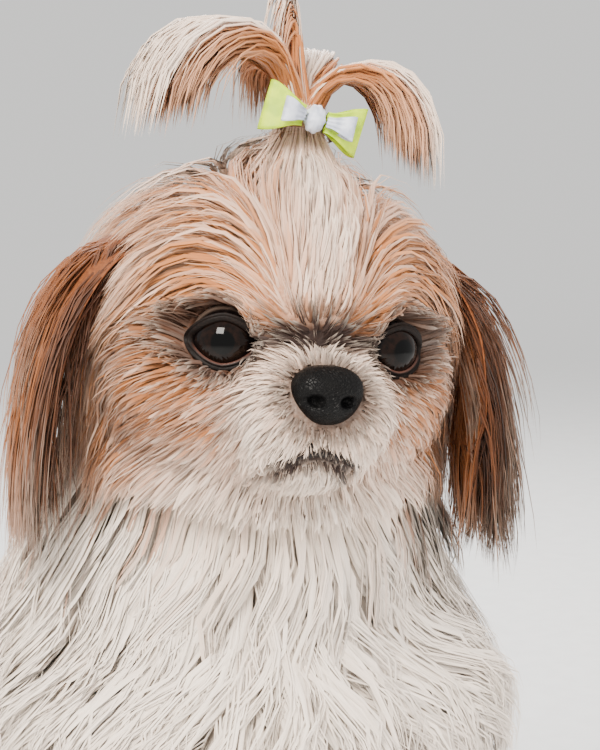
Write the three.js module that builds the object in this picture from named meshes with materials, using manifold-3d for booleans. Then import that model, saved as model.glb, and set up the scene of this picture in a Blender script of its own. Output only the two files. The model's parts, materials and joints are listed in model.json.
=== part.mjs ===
// A shih tzu, life size, sitting with its head up: golden face and ears, white chest, topknot tied with a bow.
// Millimetres, +Z up, the dog faces -Y, and its left side is +X. The floor is z = 0.
import * as THREE from "three";
import { mergeVertices } from "three/addons/utils/BufferGeometryUtils.js";
import { MeshSurfaceSampler } from "three/addons/math/MeshSurfaceSampler.js";
import Module from "manifold-3d";

const wasm = await Module();
wasm.setup();
const { Manifold, Mesh: SolidMesh } = wasm;
const { clamp, lerp, smoothstep, degToRad } = THREE.MathUtils;
const vec = (x, y, z) => new THREE.Vector3(x, y, z);

// Driving dimensions
const GAP = 0.3; // kept between touching pieces
const TOLERANCE = 0.03; // edges shorter than this close up where forms are joined
const MIDDLE_Y = 30; // the middle of the sitting dog, from nose to tail, in the sizes below

// Joints of the sitting body, for the dog's left side where there are two
const WITHERS = vec(0, -12, 190);
const LOIN = vec(0, 36, 130);
const RUMP = vec(0, 84, 60);
const STERNUM = vec(0, -46, 172);
const NECK_FOOT = vec(0, -24, 216);
const NECK_TOP = vec(0, -54, 280);
const SHOULDER = vec(40, -38, 172);
const ELBOW = vec(44, -42, 108);
const WRIST = vec(42, -64, 38);
const FRONT_PAW = vec(42, -76, 13);
const HAUNCH = vec(50, 58, 54);
const HEEL = vec(56, 86, 14);
const HIND_FOOT = vec(59, 34, 14);
const HIND_PAW = vec(61, 8, 12);
const TAIL_JOINTS = [
  vec(0, 122, 66), vec(-2, 152, 96), vec(-8, 160, 140), vec(-16, 134, 172), vec(-22, 100, 176),
];

// Flesh radii at those joints
const R = {
  withers: 56, loin: 57, rump: 55, sternum: 40, neckFoot: 52, neckTop: 42,
  shoulder: 24, elbow: 16, wrist: 12, haunch: vec(30, 52, 42), heel: 11,
  tail: [13, 11, 9, 7, 5],
};
const PAW = vec(14, 19, 12);
const TOE = { radius: 7.5, claw: 2, clawLength: 8 };

// The head: its own frame has its origin between the eyes, faces -Y and is a little turned and tilted
const HEAD_AT = vec(0, -74, 318);
const HEAD_TURN = { yaw: -4, pitch: 2, roll: 5 };
const EYE = { at: vec(25.5, -29.5, 0), radius: 11, out: 20, opening: [8.6, 6.6] };
const NOSE = { at: vec(0, -55, -13), size: vec(11, 8, 9) };
const HEAD_DETAIL = [20, 14]; // sides and rings of the skull
const HEAD_LOCK = { near: 17, far: 30, crown: 22 };
const MOUTH = { drop: 29, corner: vec(17, -40, -37) };
const EAR = {
  joints: [vec(34, 8, 28), vec(56, 9, 27), vec(70, 10, 9), vec(76, 11, -14), vec(77, 12, -36)],
  halfWidth: 19, halfThick: 2.4, cup: 5,
  rows: [0.3, 0.75], columns: [-0.8, 0, 0.8], hem: -78, longest: 70, lockWidth: 13.5, lockThick: 3,
};
const BAND = { at: vec(3, 2, 66), radius: 6.5, wire: 2.2 };

// The coat: how far its dense core and its outer locks stand off the flesh
const CORE = { face: 1, head: 8, body: 8, leg: 5, tail: 4 };
const COAT = { face: 5.5, head: 22, neck: 25, body: 23, leg: 11.5, tail: 19 };
const FLOOR_CLEAR = 3; // the lowest that the middle of a lock comes
const BARE = 3; // a root that lies deeper than this in the joined core is hidden by another sub-part
const ROOT_TRIES = 2600;

// Distance from the flesh, built of tapered limbs and eggs that melt into each other
function limb(from, to, fromRadius, toRadius) {
  const along = to.clone().sub(from);
  return (p) => {
    const t = clamp(p.clone().sub(from).dot(along) / along.lengthSq(), 0, 1);
    return p.distanceTo(from.clone().addScaledVector(along, t)) - lerp(fromRadius, toRadius, t);
  };
}

function egg(centre, radii) {
  const squared = radii.clone().multiply(radii);
  return (p) => {
    const q = p.clone().sub(centre);
    const near = q.clone().divide(radii).length();
    return near < 1e-6 ? -radii.x : (near * (near - 1)) / q.divide(squared).length();
  };
}

function melt(softness, ...shapes) {
  return (p) => {
    let best = Infinity;
    for (const shape of shapes) {
      const d = shape(p);
      const h = Math.max(softness - Math.abs(best - d), 0) / softness;
      best = Math.min(best, d) - (best === Infinity ? 0 : (h * h * softness) / 4);
    }
    return best;
  };
}

const mirrored = (p, side) => vec(p.x * side, p.y, p.z);
const bothSides = (shape) => (p) => shape(vec(Math.abs(p.x), p.y, p.z));
const grown = (amount, shape) => (p) => shape(p) - amount;

const headFrame = new THREE.Matrix4().compose(
  HEAD_AT,
  new THREE.Quaternion().setFromEuler(
    new THREE.Euler(degToRad(-HEAD_TURN.pitch), degToRad(HEAD_TURN.roll), degToRad(HEAD_TURN.yaw), "ZYX"),
  ),
  vec(1, 1, 1),
);
const intoHead = headFrame.clone().invert();
const inHead = (shape) => (p) => shape(p.clone().applyMatrix4(intoHead));

const headFlesh = melt(
  10,
  egg(vec(0, 12, 6), vec(43, 46, 38)), // braincase
  egg(vec(0, -12, 10), vec(35, 32, 28)), // forehead
  bothSides(egg(vec(25, -12, -14), vec(21, 27, 21))), // cheek
  egg(vec(0, -38, -17), vec(20, 17, 14)), // short muzzle
  bothSides(egg(vec(9.5, -45, -21), vec(11.5, 11, 10.5))), // whisker pad
  egg(vec(0, -33, -34), vec(17, 17, 9)), // chin
  egg(vec(0, -8, -24), vec(31, 30, 18)), // jaw
);
const headCore = (p) => headFlesh(p) - lerp(CORE.face, CORE.head, smoothstep(p.y, -32, 4));
const neckFlesh = limb(NECK_FOOT, NECK_TOP, R.neckFoot, R.neckTop);
const torsoFlesh = melt(
  24,
  limb(WITHERS, LOIN, R.withers, R.loin),
  limb(LOIN, RUMP, R.loin, R.rump),
  limb(WITHERS, STERNUM, R.sternum, R.sternum),
  bothSides(limb(SHOULDER, SHOULDER.clone().lerp(ELBOW, 0.3), R.shoulder, R.elbow)),
);
const frontLegFlesh = melt(
  8,
  limb(SHOULDER, ELBOW, R.shoulder, R.elbow),
  limb(ELBOW, WRIST, R.elbow, R.wrist),
  egg(FRONT_PAW, PAW),
);
const hindFootFlesh = melt(8, limb(HEEL, HIND_FOOT, R.heel, R.heel), egg(HIND_PAW, PAW));
const hindLegFlesh = melt(10, egg(HAUNCH, R.haunch), hindFootFlesh);
const tailFlesh = melt(
  6,
  ...TAIL_JOINTS.slice(1).map((joint, i) => limb(TAIL_JOINTS[i], joint, R.tail[i], R.tail[i + 1])),
);

// The dense core of the whole coat, over which every lock lies
const wholeCore = melt(
  8,
  inHead(headCore),
  grown(CORE.body, neckFlesh),
  grown(CORE.body, torsoFlesh),
  bothSides(grown(CORE.leg, frontLegFlesh)),
  bothSides(grown(CORE.leg, hindLegFlesh)),
);

// Making solids
const closed = (geometry) => {
  geometry.deleteAttribute("normal");
  geometry.deleteAttribute("uv");
  return mergeVertices(geometry, 1e-4);
};

// A geometry as a solid, turned right side out where its form was mirrored
function solidOf(geometry) {
  const vertProperties = new Float32Array(geometry.attributes.position.array);
  const triVerts = new Uint32Array(geometry.index.array);
  const mesh = { numProp: 3, vertProperties, triVerts, tolerance: TOLERANCE };
  const made = new Manifold(new SolidMesh(mesh));
  if (made.volume() > 0) return made;
  return new Manifold(new SolidMesh({ ...mesh, triVerts: triVerts.reverse() }));
}

const moved = (geometry, move) => {
  const place = geometry.attributes.position;
  const p = vec(0, 0, 0);
  for (let i = 0; i < place.count; i++) {
    const q = move(p.fromBufferAttribute(place, i).clone());
    place.setXYZ(i, q.x, q.y, q.z);
  }
  return geometry;
};

// Where a ray from inside leaves the surface on which distance(p) is 0
function leaves(from, direction, distance) {
  const stride = 2;
  const far = 200;
  let near = 0;
  while (near < far && distance(from.clone().addScaledVector(direction, near + stride)) < 0) near += stride;
  let low = near;
  let high = near + stride;
  for (let i = 0; i < 12; i++) {
    const middle = (low + high) / 2;
    if (distance(from.clone().addScaledVector(direction, middle)) < 0) low = middle;
    else high = middle;
  }
  return from.clone().addScaledVector(direction, low);
}

// A capsule bent along an axis, each point of it moved out to the surface
function cast(joints, distance, { sides, rings, caps }, aside = vec(1, 0, 0)) {
  const axis = new THREE.CatmullRomCurve3(joints);
  const form = closed(new THREE.CapsuleGeometry(1, 1, caps, sides, rings));
  return moved(form, (q) => {
    const t = clamp(q.y + 0.5, 0, 1);
    const along = axis.getTangent(t);
    const across = aside.clone().addScaledVector(along, -aside.dot(along)).normalize();
    const third = across.clone().cross(along);
    const beyond = q.y > 0.5 ? q.y - 0.5 : Math.min(q.y + 0.5, 0);
    const ray = across.multiplyScalar(q.x).addScaledVector(third, q.z).addScaledVector(along, beyond);
    return leaves(axis.getPoint(t), ray.normalize(), distance);
  });
}

// A ball cast out to a head shape, its pole at the nose and its rings packed towards the face
function castHead(distance, sides, rings, packed = 1.35) {
  const form = closed(new THREE.SphereGeometry(1, sides, rings));
  const centre = vec(0, -6, 0);
  return moved(form, (q) => {
    const angle = Math.PI * (Math.acos(clamp(q.y, -1, 1)) / Math.PI) ** packed;
    const ring = Math.hypot(q.x, q.z) || 1;
    const ray = vec((q.x / ring) * Math.sin(angle), -Math.cos(angle), (q.z / ring) * Math.sin(angle));
    return leaves(centre, ray.normalize(), distance);
  });
}

const slope = (field, p) => {
  const e = 0.5;
  return vec(
    field(vec(p.x + e, p.y, p.z)) - field(vec(p.x - e, p.y, p.z)),
    field(vec(p.x, p.y + e, p.z)) - field(vec(p.x, p.y - e, p.z)),
    field(vec(p.x, p.y, p.z + e)) - field(vec(p.x, p.y, p.z - e)),
  ).normalize();
};

// Nodes: each later one is cut clear of the earlier ones
const dog = new THREE.Group();
const clearances = [];

function largest(solid) {
  return solid.decompose().reduce((best, s) => (s.volume() > best.volume() ? s : best));
}

function addNode(name, colour, roughness, pieces, cuts = []) {
  let solid = Manifold.union(pieces(0));
  for (const cutter of [...clearances, ...cuts]) solid = solid.subtract(cutter);
  solid = largest(solid);
  clearances.push(Manifold.union(pieces(GAP)));
  const { vertProperties, triVerts } = solid.getMesh();
  const geometry = new THREE.BufferGeometry()
    .setAttribute("position", new THREE.BufferAttribute(new Float32Array(vertProperties), 3))
    .setIndex(new THREE.BufferAttribute(new Uint32Array(triVerts), 1));
  geometry.computeVertexNormals();
  const mesh = new THREE.Mesh(geometry, new THREE.MeshStandardMaterial({ color: colour, roughness }));
  mesh.name = name;
  dog.add(mesh);
}

// Eyes and nose
const eyeAt = (side) => mirrored(EYE.at, side);
const gaze = (side) => vec(side * Math.sin(degToRad(EYE.out)), -Math.cos(degToRad(EYE.out)), 0);

for (const [name, side] of [["eye_left", 1], ["eye_right", -1]]) {
  addNode(name, 0x0b0807, 0.05, (grow) => {
    const ball = closed(new THREE.SphereGeometry(EYE.radius + grow, 12, 8));
    ball.translate(...eyeAt(side).toArray());
    return [solidOf(ball.applyMatrix4(headFrame))];
  });
}

// The nose leather: flat in front, widest across the nostrils, with a comma-shaped nostril on each side
function noseLeather(grow) {
  const form = closed(new THREE.SphereGeometry(1, 12, 8));
  return moved(form, (q) => {
    const wide = NOSE.size.x * (1 + 0.1 * q.z) * (1 - 0.12 * Math.max(-q.z, 0));
    const deep = NOSE.size.y * (q.y < 0 ? 0.86 : 1.15);
    return vec(q.x * (wide + grow), q.y * (deep + grow), q.z * (NOSE.size.z + grow)).add(NOSE.at);
  });
}

function nostril(side) {
  const form = closed(new THREE.SphereGeometry(1, 6, 4));
  moved(form, (q) => {
    const hook = 0.35 * Math.max(q.x * side, 0) ** 2;
    return vec(q.x * 3.1, q.y * 4.2, (q.z + hook) * 2.3);
  });
  const place = vec(side * NOSE.size.x * 0.47, -NOSE.size.y * 0.86, -NOSE.size.z * 0.12).add(NOSE.at);
  return form.translate(place.x, place.y, place.z);
}

function groove(points, radius, steps) {
  const outline = new THREE.Shape().absarc(0, 0, radius, 0, 2 * Math.PI);
  const options = { steps, curveSegments: 3, extrudePath: new THREE.CatmullRomCurve3(points) };
  return closed(new THREE.ExtrudeGeometry(outline, { ...options, bevelEnabled: false }));
}

const philtrum = [-0.1, -0.55, -1.15].map((drop) =>
  vec(0, -NOSE.size.y * (0.9 - 0.25 * drop * drop), drop * NOSE.size.z).add(NOSE.at),
);
addNode(
  "nose", 0x15110f, 0.35,
  (grow) => [solidOf(noseLeather(grow).applyMatrix4(headFrame))],
  [-1, 1].map((side) => solidOf(nostril(side).applyMatrix4(headFrame)))
    .concat([solidOf(groove(philtrum, 0.7, 6).applyMatrix4(headFrame))]),
);

// Locks: a four-sided cone bent along its path, flat, widest in the middle and tapering to its tip.
// The path has a station for each ring from root to tip, { at, flat }, flat pointing out of the broad face.
function lock({ path, width, thick }, grow) {
  const curve = new THREE.CatmullRomCurve3(path.map((station) => station.at));
  const last = path.length - 1;
  return solidOf(moved(closed(new THREE.ConeGeometry(1, 1, 4, last)), (q) => {
    const t = q.y + 0.5;
    const along = curve.getTangent(t);
    const near = Math.min(Math.floor(t * last), last - 1);
    const flat = path[near].flat.clone().lerp(path[near + 1].flat, t * last - near);
    const side = along.clone().cross(flat).normalize();
    const out = side.clone().cross(along).normalize();
    const fullness = (0.8 + 0.9 * t) * (1 - t) ** 0.75;
    const ring = 1 - t || 1;
    return curve.getPoint(t)
      .addScaledVector(side, (q.x / ring) * (width * fullness + 4 * grow))
      .addScaledVector(out, (q.z / ring) * (thick * fullness ** 0.5 + 2.2 * grow))
      .addScaledVector(along, t === 1 ? 8 * grow : t === 0 ? -grow : 0);
  }));
}

const lockSolids = (locks, grow) => locks.map((one) => lock(one, grow));

// A lock that lies over a core: it leaves its root along lie(p) and rises to its lift
function lyingPath(field, root, lie, { length, lift, sink = 4, rings = 4, hold = 0.35 }) {
  const out = slope(field, root);
  let along = lie(root).projectOnPlane(out).normalize();
  const foot = root.clone().addScaledVector(out, -sink).addScaledVector(along, -sink * 0.5);
  const path = [{ at: foot, flat: out }];
  let p = root.clone();
  for (let k = 1; k <= rings; k++) {
    const normal = slope(field, p);
    along = along.lerp(lie(p), 0.6);
    along.addScaledVector(normal, -Math.max(along.dot(normal), 0) * 0.7).normalize();
    p = p.clone().addScaledVector(along, length / rings);
    const wanted = lift * Math.sin(Math.min(1.15 * (k / rings), 1) * Math.PI * 0.5);
    const off = wanted - field(p);
    const away = slope(field, p);
    p.addScaledVector(away, off > 0 ? off : off * hold);
    p.z = Math.max(p.z, FLOOR_CLEAR);
    path.push({ at: p, flat: away });
  }
  return path;
}

// A lock that hangs free: it leaves its root along start and turns towards the floor
function hangingPath(root, flat, start, { length, fall, sink = 3, rings = 4 }) {
  const along = start.clone().normalize();
  let p = root.clone();
  const foot = root.clone().addScaledVector(flat, -sink).addScaledVector(along, -sink);
  const path = [{ at: foot, flat }];
  for (let k = 1; k <= rings; k++) {
    along.lerp(vec(0, 0, -1), fall).normalize();
    p = p.clone().addScaledVector(along, length / rings);
    p.z = Math.max(p.z, FLOOR_CLEAR);
    path.push({ at: p, flat });
  }
  return path;
}

const randomOf = (seed) => () => {
  seed = (seed + 0x6d2b79f5) | 0;
  let t = Math.imul(seed ^ (seed >>> 15), 1 | seed);
  t = (t + Math.imul(t ^ (t >>> 7), 61 | t)) ^ t;
  return ((t ^ (t >>> 14)) >>> 0) / 4294967296;
};

// Roots spread over the bare part of a core, at least spacing(p) apart, and none where spacing(p) is 0
function rootsOn(field, forms, spacing, random) {
  const roots = [];
  const p = vec(0, 0, 0);
  for (const form of forms) {
    const sampler = new MeshSurfaceSampler(new THREE.Mesh(form)).setRandomGenerator(random).build();
    for (let i = 0; i < ROOT_TRIES; i++) {
      sampler.sample(p);
      const apart = field(p) > -BARE ? spacing(p) : 0;
      if (apart > 0 && roots.every((root) => root.distanceTo(p) > apart)) roots.push(p.clone());
    }
  }
  return roots;
}

// Lying locks for the forms of one core: style(p) gives each its length, width, lift and thickness
function lyingLocks(forms, { lie, spacing, style, seed, field = wholeCore }) {
  const random = randomOf(seed);
  return rootsOn(field, forms, spacing, random).map((root) => {
    const { length, width, thick = 1.7, ...rest } = style(root);
    const varied = 0.85 + 0.3 * random();
    const path = lyingPath(field, root, lie, { length: length * varied, ...rest });
    return { path, width: width * (1.7 - 0.7 * varied), thick };
  });
}

const headPoint = (p) => p.clone().applyMatrix4(headFrame);
const headDirection = (p) => p.clone().transformDirection(headFrame);

// Bow: a band round the foot of the topknot, and in front of it two pairs of ribbon loops on a knot
const BOW = {
  knot: BAND.at.clone().add(vec(0, -BAND.radius - 2 * BAND.wire - 4.5, 4)),
  knotSize: vec(3.4, 3.6, 4.6),
  rootAt: 3.8,
  ribbon: 1,
  tilt: 12,
  outer: { reach: 16.5, tall: 14, belly: 3, forward: 2 },
  inner: { reach: 12.5, tall: 9, belly: 2.4, forward: -5 },
};

function inBow(geometry) {
  const turn = new THREE.Matrix4().makeRotationY(degToRad(BOW.tilt));
  return geometry.applyMatrix4(turn).translate(BOW.knot.x, BOW.knot.y, BOW.knot.z).applyMatrix4(headFrame);
}

// One loop of ribbon, seen from above: out from the knot and back to it
function ribbonLoop(side, { reach, tall, belly, forward }, grow) {
  const outline = (inset) => {
    const root = BOW.rootAt + 1.6 * inset;
    const out = reach - inset;
    const wide = belly - inset;
    const bend = new THREE.Shape();
    bend.moveTo(root, -0.25);
    bend.bezierCurveTo(reach * 0.4, -wide * 1.2, out, -wide * 1.2, out, 0);
    bend.bezierCurveTo(out, wide * 1.2, reach * 0.4, wide * 1.2, root, 0.25);
    bend.closePath();
    return bend;
  };
  const shape = outline(-grow);
  if (grow === 0) shape.holes.push(outline(BOW.ribbon));
  const options = { depth: tall + 2 * grow, bevelEnabled: false, curveSegments: 5, steps: 1 };
  const loop = closed(new THREE.ExtrudeGeometry(shape, options)).translate(0, 0, -tall / 2 - grow);
  moved(loop, (q) => {
    const fan = lerp(0.5, 1, smoothstep(q.x, BOW.rootAt, reach));
    return vec(q.x * side, q.y + forward * (q.x / reach), q.z * fan);
  });
  return solidOf(inBow(loop));
}

const knotSolid = (grow) => {
  const knot = closed(new THREE.SphereGeometry(1, 8, 6));
  return solidOf(inBow(moved(knot, (q) => q.multiply(BOW.knotSize.clone().addScalar(grow)))));
};

addNode("bow_knot", 0xd9dbe0, 0.35, (grow) => [knotSolid(grow)]);
for (const [name, side] of [["left", 1], ["right", -1]]) {
  addNode(`bow_inner_${name}`, 0xdfe2ea, 0.35, (grow) => [ribbonLoop(side, BOW.inner, grow)]);
  addNode(`bow_outer_${name}`, 0xd2e61a, 0.45, (grow) => [ribbonLoop(side, BOW.outer, grow)]);
}

// Topknot: a stem that rises from the crown through its band, then arches over to both sides and behind
const STEM = { foot: 16, waist: BAND.radius - 0.6, head: 9.5, sunk: 28, rise: 17 };
function stemSolid(grow) {
  const { foot, waist, head, sunk, rise } = STEM;
  const profile = [
    [0, -sunk - grow], [foot + grow, -sunk - grow], [foot * 0.75 + grow, -sunk * 0.45],
    [waist + 1.5 + grow, -3], [waist + grow, 2], [waist + grow, 5],
    [head + grow, 11], [head * 0.8 + grow, rise], [0, rise + 2 + grow],
  ].map(([r, z]) => new THREE.Vector2(r, z));
  const stem = closed(new THREE.LatheGeometry(profile, 12)).rotateX(Math.PI / 2);
  return solidOf(stem.translate(...BAND.at.toArray()).applyMatrix4(headFrame));
}

addNode("hair_band", 0x8a6a48, 0.8, (grow) => {
  const wire = BAND.wire + grow;
  const ring = closed(new THREE.TorusGeometry(BAND.radius + BAND.wire + 0.1, wire, 5, 12));
  return [solidOf(ring.translate(BAND.at.x, BAND.at.y, BAND.at.z + 3.5).applyMatrix4(headFrame))];
});

// An arch of hair from the stem's head: turned from the dog's left, it rises, reaches out and drops
function archPath({ turn, reach, rise, drop }, rings = 5) {
  const out = vec(Math.cos(degToRad(turn)), Math.sin(degToRad(turn)), 0);
  const from = BAND.at.clone().add(vec(0, 0, STEM.rise * 0.5)).addScaledVector(out, 4.5);
  const curve = new THREE.CubicBezierCurve3(
    from,
    from.clone().addScaledVector(out, reach * 0.15).add(vec(0, 0, rise * 1.3)),
    from.clone().addScaledVector(out, reach * 1.05).add(vec(0, 0, rise * 1.25)),
    from.clone().addScaledVector(out, reach).add(vec(0, 0, -drop)),
  );
  const across = vec(-out.y, out.x, 0);
  return Array.from({ length: rings + 1 }, (_, k) => {
    const along = curve.getTangent(k / rings);
    return { at: headPoint(curve.getPoint(k / rings)), flat: headDirection(across.clone().cross(along)) };
  });
}

// The hair falls over in three tufts, the largest to the dog's right, and one thin loop stands up.
// The locks of a tuft are nested one under the other.
const TUFTS = [
  { turn: 186, reach: 56, rise: 28, drop: 16, locks: 3, width: 11 },
  { turn: -6, reach: 44, rise: 19, drop: 26, locks: 3, width: 10 },
  { turn: 90, reach: 36, rise: 22, drop: 10, locks: 2, width: 13 },
  { turn: 215, reach: 14, rise: 36, drop: -12, locks: 1, width: 3.6 },
];

const topknotLocks = TUFTS.flatMap(({ locks, width, turn, reach, rise, drop }) =>
  Array.from({ length: locks }, (_, i) => {
    const inner = 1 - 0.22 * i;
    const arch = { turn: turn + 12 * (i % 2 ? 1 : -1), reach: reach * inner, rise: rise * inner };
    return { path: archPath({ ...arch, drop: drop * inner }), width, thick: width * 0.55 };
  }),
);

addNode("topknot", 0xb98660, 0.8, (grow) => [stemSolid(grow), ...lockSolids(topknotLocks, grow)]);

// Ears: a leather flap hung from the side of the crown, hollow towards the head like a cup
const earAxis = (side) => new THREE.CatmullRomCurve3(EAR.joints.map((p) => mirrored(p, side)));

// A place on the flap: t from root to tip, u from its front edge at -1 to its back edge at 1
function earPlace(side, t, u) {
  const axis = earAxis(side);
  const along = axis.getTangent(t);
  const across = vec(0, 1, 0).projectOnPlane(along).normalize();
  const out = along.clone().cross(across).multiplyScalar(side);
  const wide = EAR.halfWidth * lerp(0.45, 1, Math.sin(Math.min(t / 0.6, 1) * Math.PI * 0.5));
  const at = axis.getPoint(t).addScaledVector(across, u * wide).addScaledVector(out, -EAR.cup * u * u);
  return { at, along, across, out };
}

function earFlap(side, grow) {
  const form = closed(new THREE.CapsuleGeometry(1, 1, 2, 10, 5));
  return solidOf(moved(form, (q) => {
    const { at, along, across, out } = earPlace(side, clamp((q.y + 1.5) / 3, 0, 1), q.x);
    return at.addScaledVector(across, Math.sign(Math.round(q.x * 100)) * grow)
      .addScaledVector(out, q.z * (EAR.halfThick + grow))
      .addScaledVector(along, Math.sign(Math.round(q.y - 0.1 * Math.sign(q.y))) * grow);
  }).applyMatrix4(headFrame));
}

// Long hair hangs from the whole outside of the flap and well past its tip
function earLocks(side, seed) {
  const random = randomOf(seed);
  return EAR.rows.flatMap((t, row) => EAR.columns.map((u) => {
    const { at, along, across, out } = earPlace(side, t, u + 0.3 * (random() - 0.5));
    const start = along.addScaledVector(out, 0.2).addScaledVector(across, 0.15 * u);
    const flat = out.multiplyScalar(Math.cos(u)).addScaledVector(across, Math.sin(u));
    const length = (at.z - EAR.hem) * (0.84 + 0.16 * random());
    const style = { length: Math.min(length, EAR.longest), fall: 0.35 - 0.05 * row };
    const path = hangingPath(headPoint(at), headDirection(flat), headDirection(start), style);
    return { path, width: EAR.lockWidth, thick: EAR.lockThick };
  }));
}

for (const [name, side, seed] of [["ear_left", 1, 61], ["ear_right", -1, 62]]) {
  const locks = earLocks(side, seed);
  addNode(name, 0x8a4f2a, 0.8, (grow) => [earFlap(side, grow), ...lockSolids(locks, grow)]);
}

// Head: lids round the eyes, lips round the line of the mouth
function lidRing(side) {
  const look = gaze(side);
  const across = vec(-look.y, look.x, 0);
  const up = vec(0, 0, 1);
  const form = closed(new THREE.TorusGeometry(1, 0.5, 4, 12));
  return moved(form, (q) => {
    const turn = Math.atan2(q.y, q.x);
    const tube = lerp(1.5, 2.3, smoothstep(Math.sin(turn), -0.6, 0.6));
    const wide = EYE.opening[0] * Math.cos(turn);
    const high = EYE.opening[1] * Math.sin(turn);
    const deep = Math.sqrt((EYE.radius + GAP) ** 2 - wide ** 2 - high ** 2);
    const onBall = across.clone().multiplyScalar(wide).addScaledVector(up, high).addScaledVector(look, deep);
    const rim = across.clone().multiplyScalar(Math.cos(turn)).addScaledVector(up, Math.sin(turn));
    const outwards = (Math.hypot(q.x, q.y) - 1) * 2;
    return onBall.clone().addScaledVector(rim, tube * (outwards + 0.8))
      .addScaledVector(onBall.normalize(), tube * q.z * 2).add(eyeAt(side));
  });
}

// The mouth's line, from corner to corner, on the surface of the muzzle
const mouthLine = (lift) => Array.from({ length: 9 }, (_, i) => {
  const u = i / 4 - 1;
  const height = -MOUTH.drop - 8 * Math.abs(u) ** 1.6 + lift;
  return leaves(vec(MOUTH.corner.x * u * 0.8, -18, height), vec(u * 0.24, -1, 0).normalize(), headCore);
});

// 1 on the crown, where all the hair is gathered up to the band
const crown = (q) => smoothstep(q.z, 24, 38);

// How the hair lies on the head, in its own frame: up from the whorl between the eyes to the band, outwards
// over the brows and then down, away from the nose on the muzzle and cheeks, and down the back of the skull
function headLie(p) {
  const q = p.clone().applyMatrix4(intoHead);
  const side = Math.sign(q.x) || 1;
  const aside = smoothstep(Math.abs(q.x), 7, 24);
  const front = 1 - smoothstep(q.y, -20, 6);
  const brow = smoothstep(q.z, 4, 16);
  const rising = BAND.at.clone().sub(q).normalize();
  const parting = vec(side, 0.25, 0.5 - 1.6 * smoothstep(Math.abs(q.x), 16, 34)).normalize();
  const fromNose = q.clone().sub(NOSE.at).normalize().add(vec(0, 0.15, -0.55));
  const upper = rising.multiplyScalar(1 - aside).addScaledVector(parting, aside);
  const face = fromNose.lerp(upper, brow);
  const behind = vec(side * 0.25, 0.2, -1).lerp(BAND.at.clone().sub(q).normalize(), smoothstep(q.z, 34, 44));
  return headDirection(behind.lerp(face, front).normalize());
}

// Locks stand clear of the eyes, the nose leather and the mouth, and are closer and shorter round the face
function headSpacing(p) {
  const q = p.clone().applyMatrix4(intoHead);
  const eye = Math.min(q.distanceTo(eyeAt(1)), q.distanceTo(eyeAt(-1)));
  if (eye < EYE.radius + 6.5 || q.distanceTo(NOSE.at) < 15.5) return 0;
  const mouth = Math.abs(q.z + MOUTH.drop + 3) < 5.5 && Math.abs(q.x) < MOUTH.corner.x && q.y < -30;
  const underEar = Math.abs(q.x) > 37 && q.y > -6 && q.y < 28 && q.z < 28;
  if (mouth || underEar || q.z < -44) return 0;
  return lerp(lerp(HEAD_LOCK.near, HEAD_LOCK.far, smoothstep(q.y, -40, 0)), HEAD_LOCK.crown, crown(q));
}

function headStyle(p) {
  const q = p.clone().applyMatrix4(intoHead);
  const back = smoothstep(q.y, -42, -4);
  const brow = smoothstep(q.z, 2, 14);
  const beard = smoothstep(-q.z, 26, 34) * (1 - smoothstep(q.y, -20, 0));
  const free = lerp(22, 50, back) + 12 * brow * (1 - back) + 4 * beard;
  const length = lerp(free, 0.9 * q.distanceTo(BAND.at), crown(q));
  const lift = lerp(COAT.face - CORE.face, COAT.head - CORE.head, back);
  const width = lerp(lerp(5.4, 11, back), 15, crown(q));
  return { length, lift, width, thick: 1.6, sink: 3.5, hold: 0.15, rings: 3 };
}

const skull = castHead(headCore, ...HEAD_DETAIL).applyMatrix4(headFrame);
const headLocks = lyingLocks([skull], { lie: headLie, spacing: headSpacing, style: headStyle, seed: 7 });

function headSolids(grow) {
  const skin = castHead((p) => headCore(p) - grow, ...HEAD_DETAIL);
  const lips = [groove(mouthLine(1.5), 1.4 + grow, 8), groove(mouthLine(-1.6), 1.5 + grow, 8)];
  const lids = [-1, 1].map((side) => lidRing(side));
  const face = [skin, ...lips, ...lids].map((g) => solidOf(g.applyMatrix4(headFrame)));
  return [...face, ...lockSolids(headLocks, grow)];
}

addNode("head", 0xc9a17c, 0.8, headSolids, [solidOf(groove(mouthLine(0), 0.8, 8).applyMatrix4(headFrame))]);

// Everything that stands on the floor is cut flat at its level
const underFloor = solidOf(closed(new THREE.BoxGeometry(600, 600, 100)).translate(0, 0, -50));

// The body's long hair falls towards the floor, a little outwards and back
const bodyLie = (p) => vec(0.22 * Math.sign(p.x) * smoothstep(Math.abs(p.x), 4, 30), 0.12, -1).normalize();

// A core and the locks that lie on it, as one sub-part; core(grow) gives the core's closed forms
function coated(name, colour, core, coat, cuts = []) {
  const locks = lyingLocks(core(0), { lie: bodyLie, ...coat });
  addNode(name, colour, 0.85, (grow) => [...core(grow).map(solidOf), ...lockSolids(locks, grow)], cuts);
}

coated(
  "neck", 0xe9dfd2,
  (grow) => [
    cast([NECK_FOOT, NECK_TOP], grown(CORE.body + grow, neckFlesh), { sides: 16, rings: 2, caps: 3 }),
  ],
  {
    seed: 100,
    spacing: () => 31,
    style: () => ({ length: 78, width: 15, lift: COAT.neck - CORE.body, thick: 2.2 }),
  },
);

// Under the belly, between the legs, the core is bare
const belly = (p) => Math.abs(p.x) < 34 && p.y > -60 && p.y < 40 && p.z < 110;
coated(
  "torso", 0xe9dfd2,
  (grow) => [
    cast([WITHERS, LOIN, RUMP], grown(CORE.body + grow, torsoFlesh), { sides: 18, rings: 5, caps: 4 }),
  ],
  {
    seed: 200,
    spacing: (p) => (p.z < 24 || belly(p) ? 0 : 38),
    style: (p) => ({
      length: lerp(50, 84, smoothstep(p.z, 40, 120)), width: 16, lift: COAT.body - CORE.body, thick: 2.2,
    }),
  },
  [underFloor],
);

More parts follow.
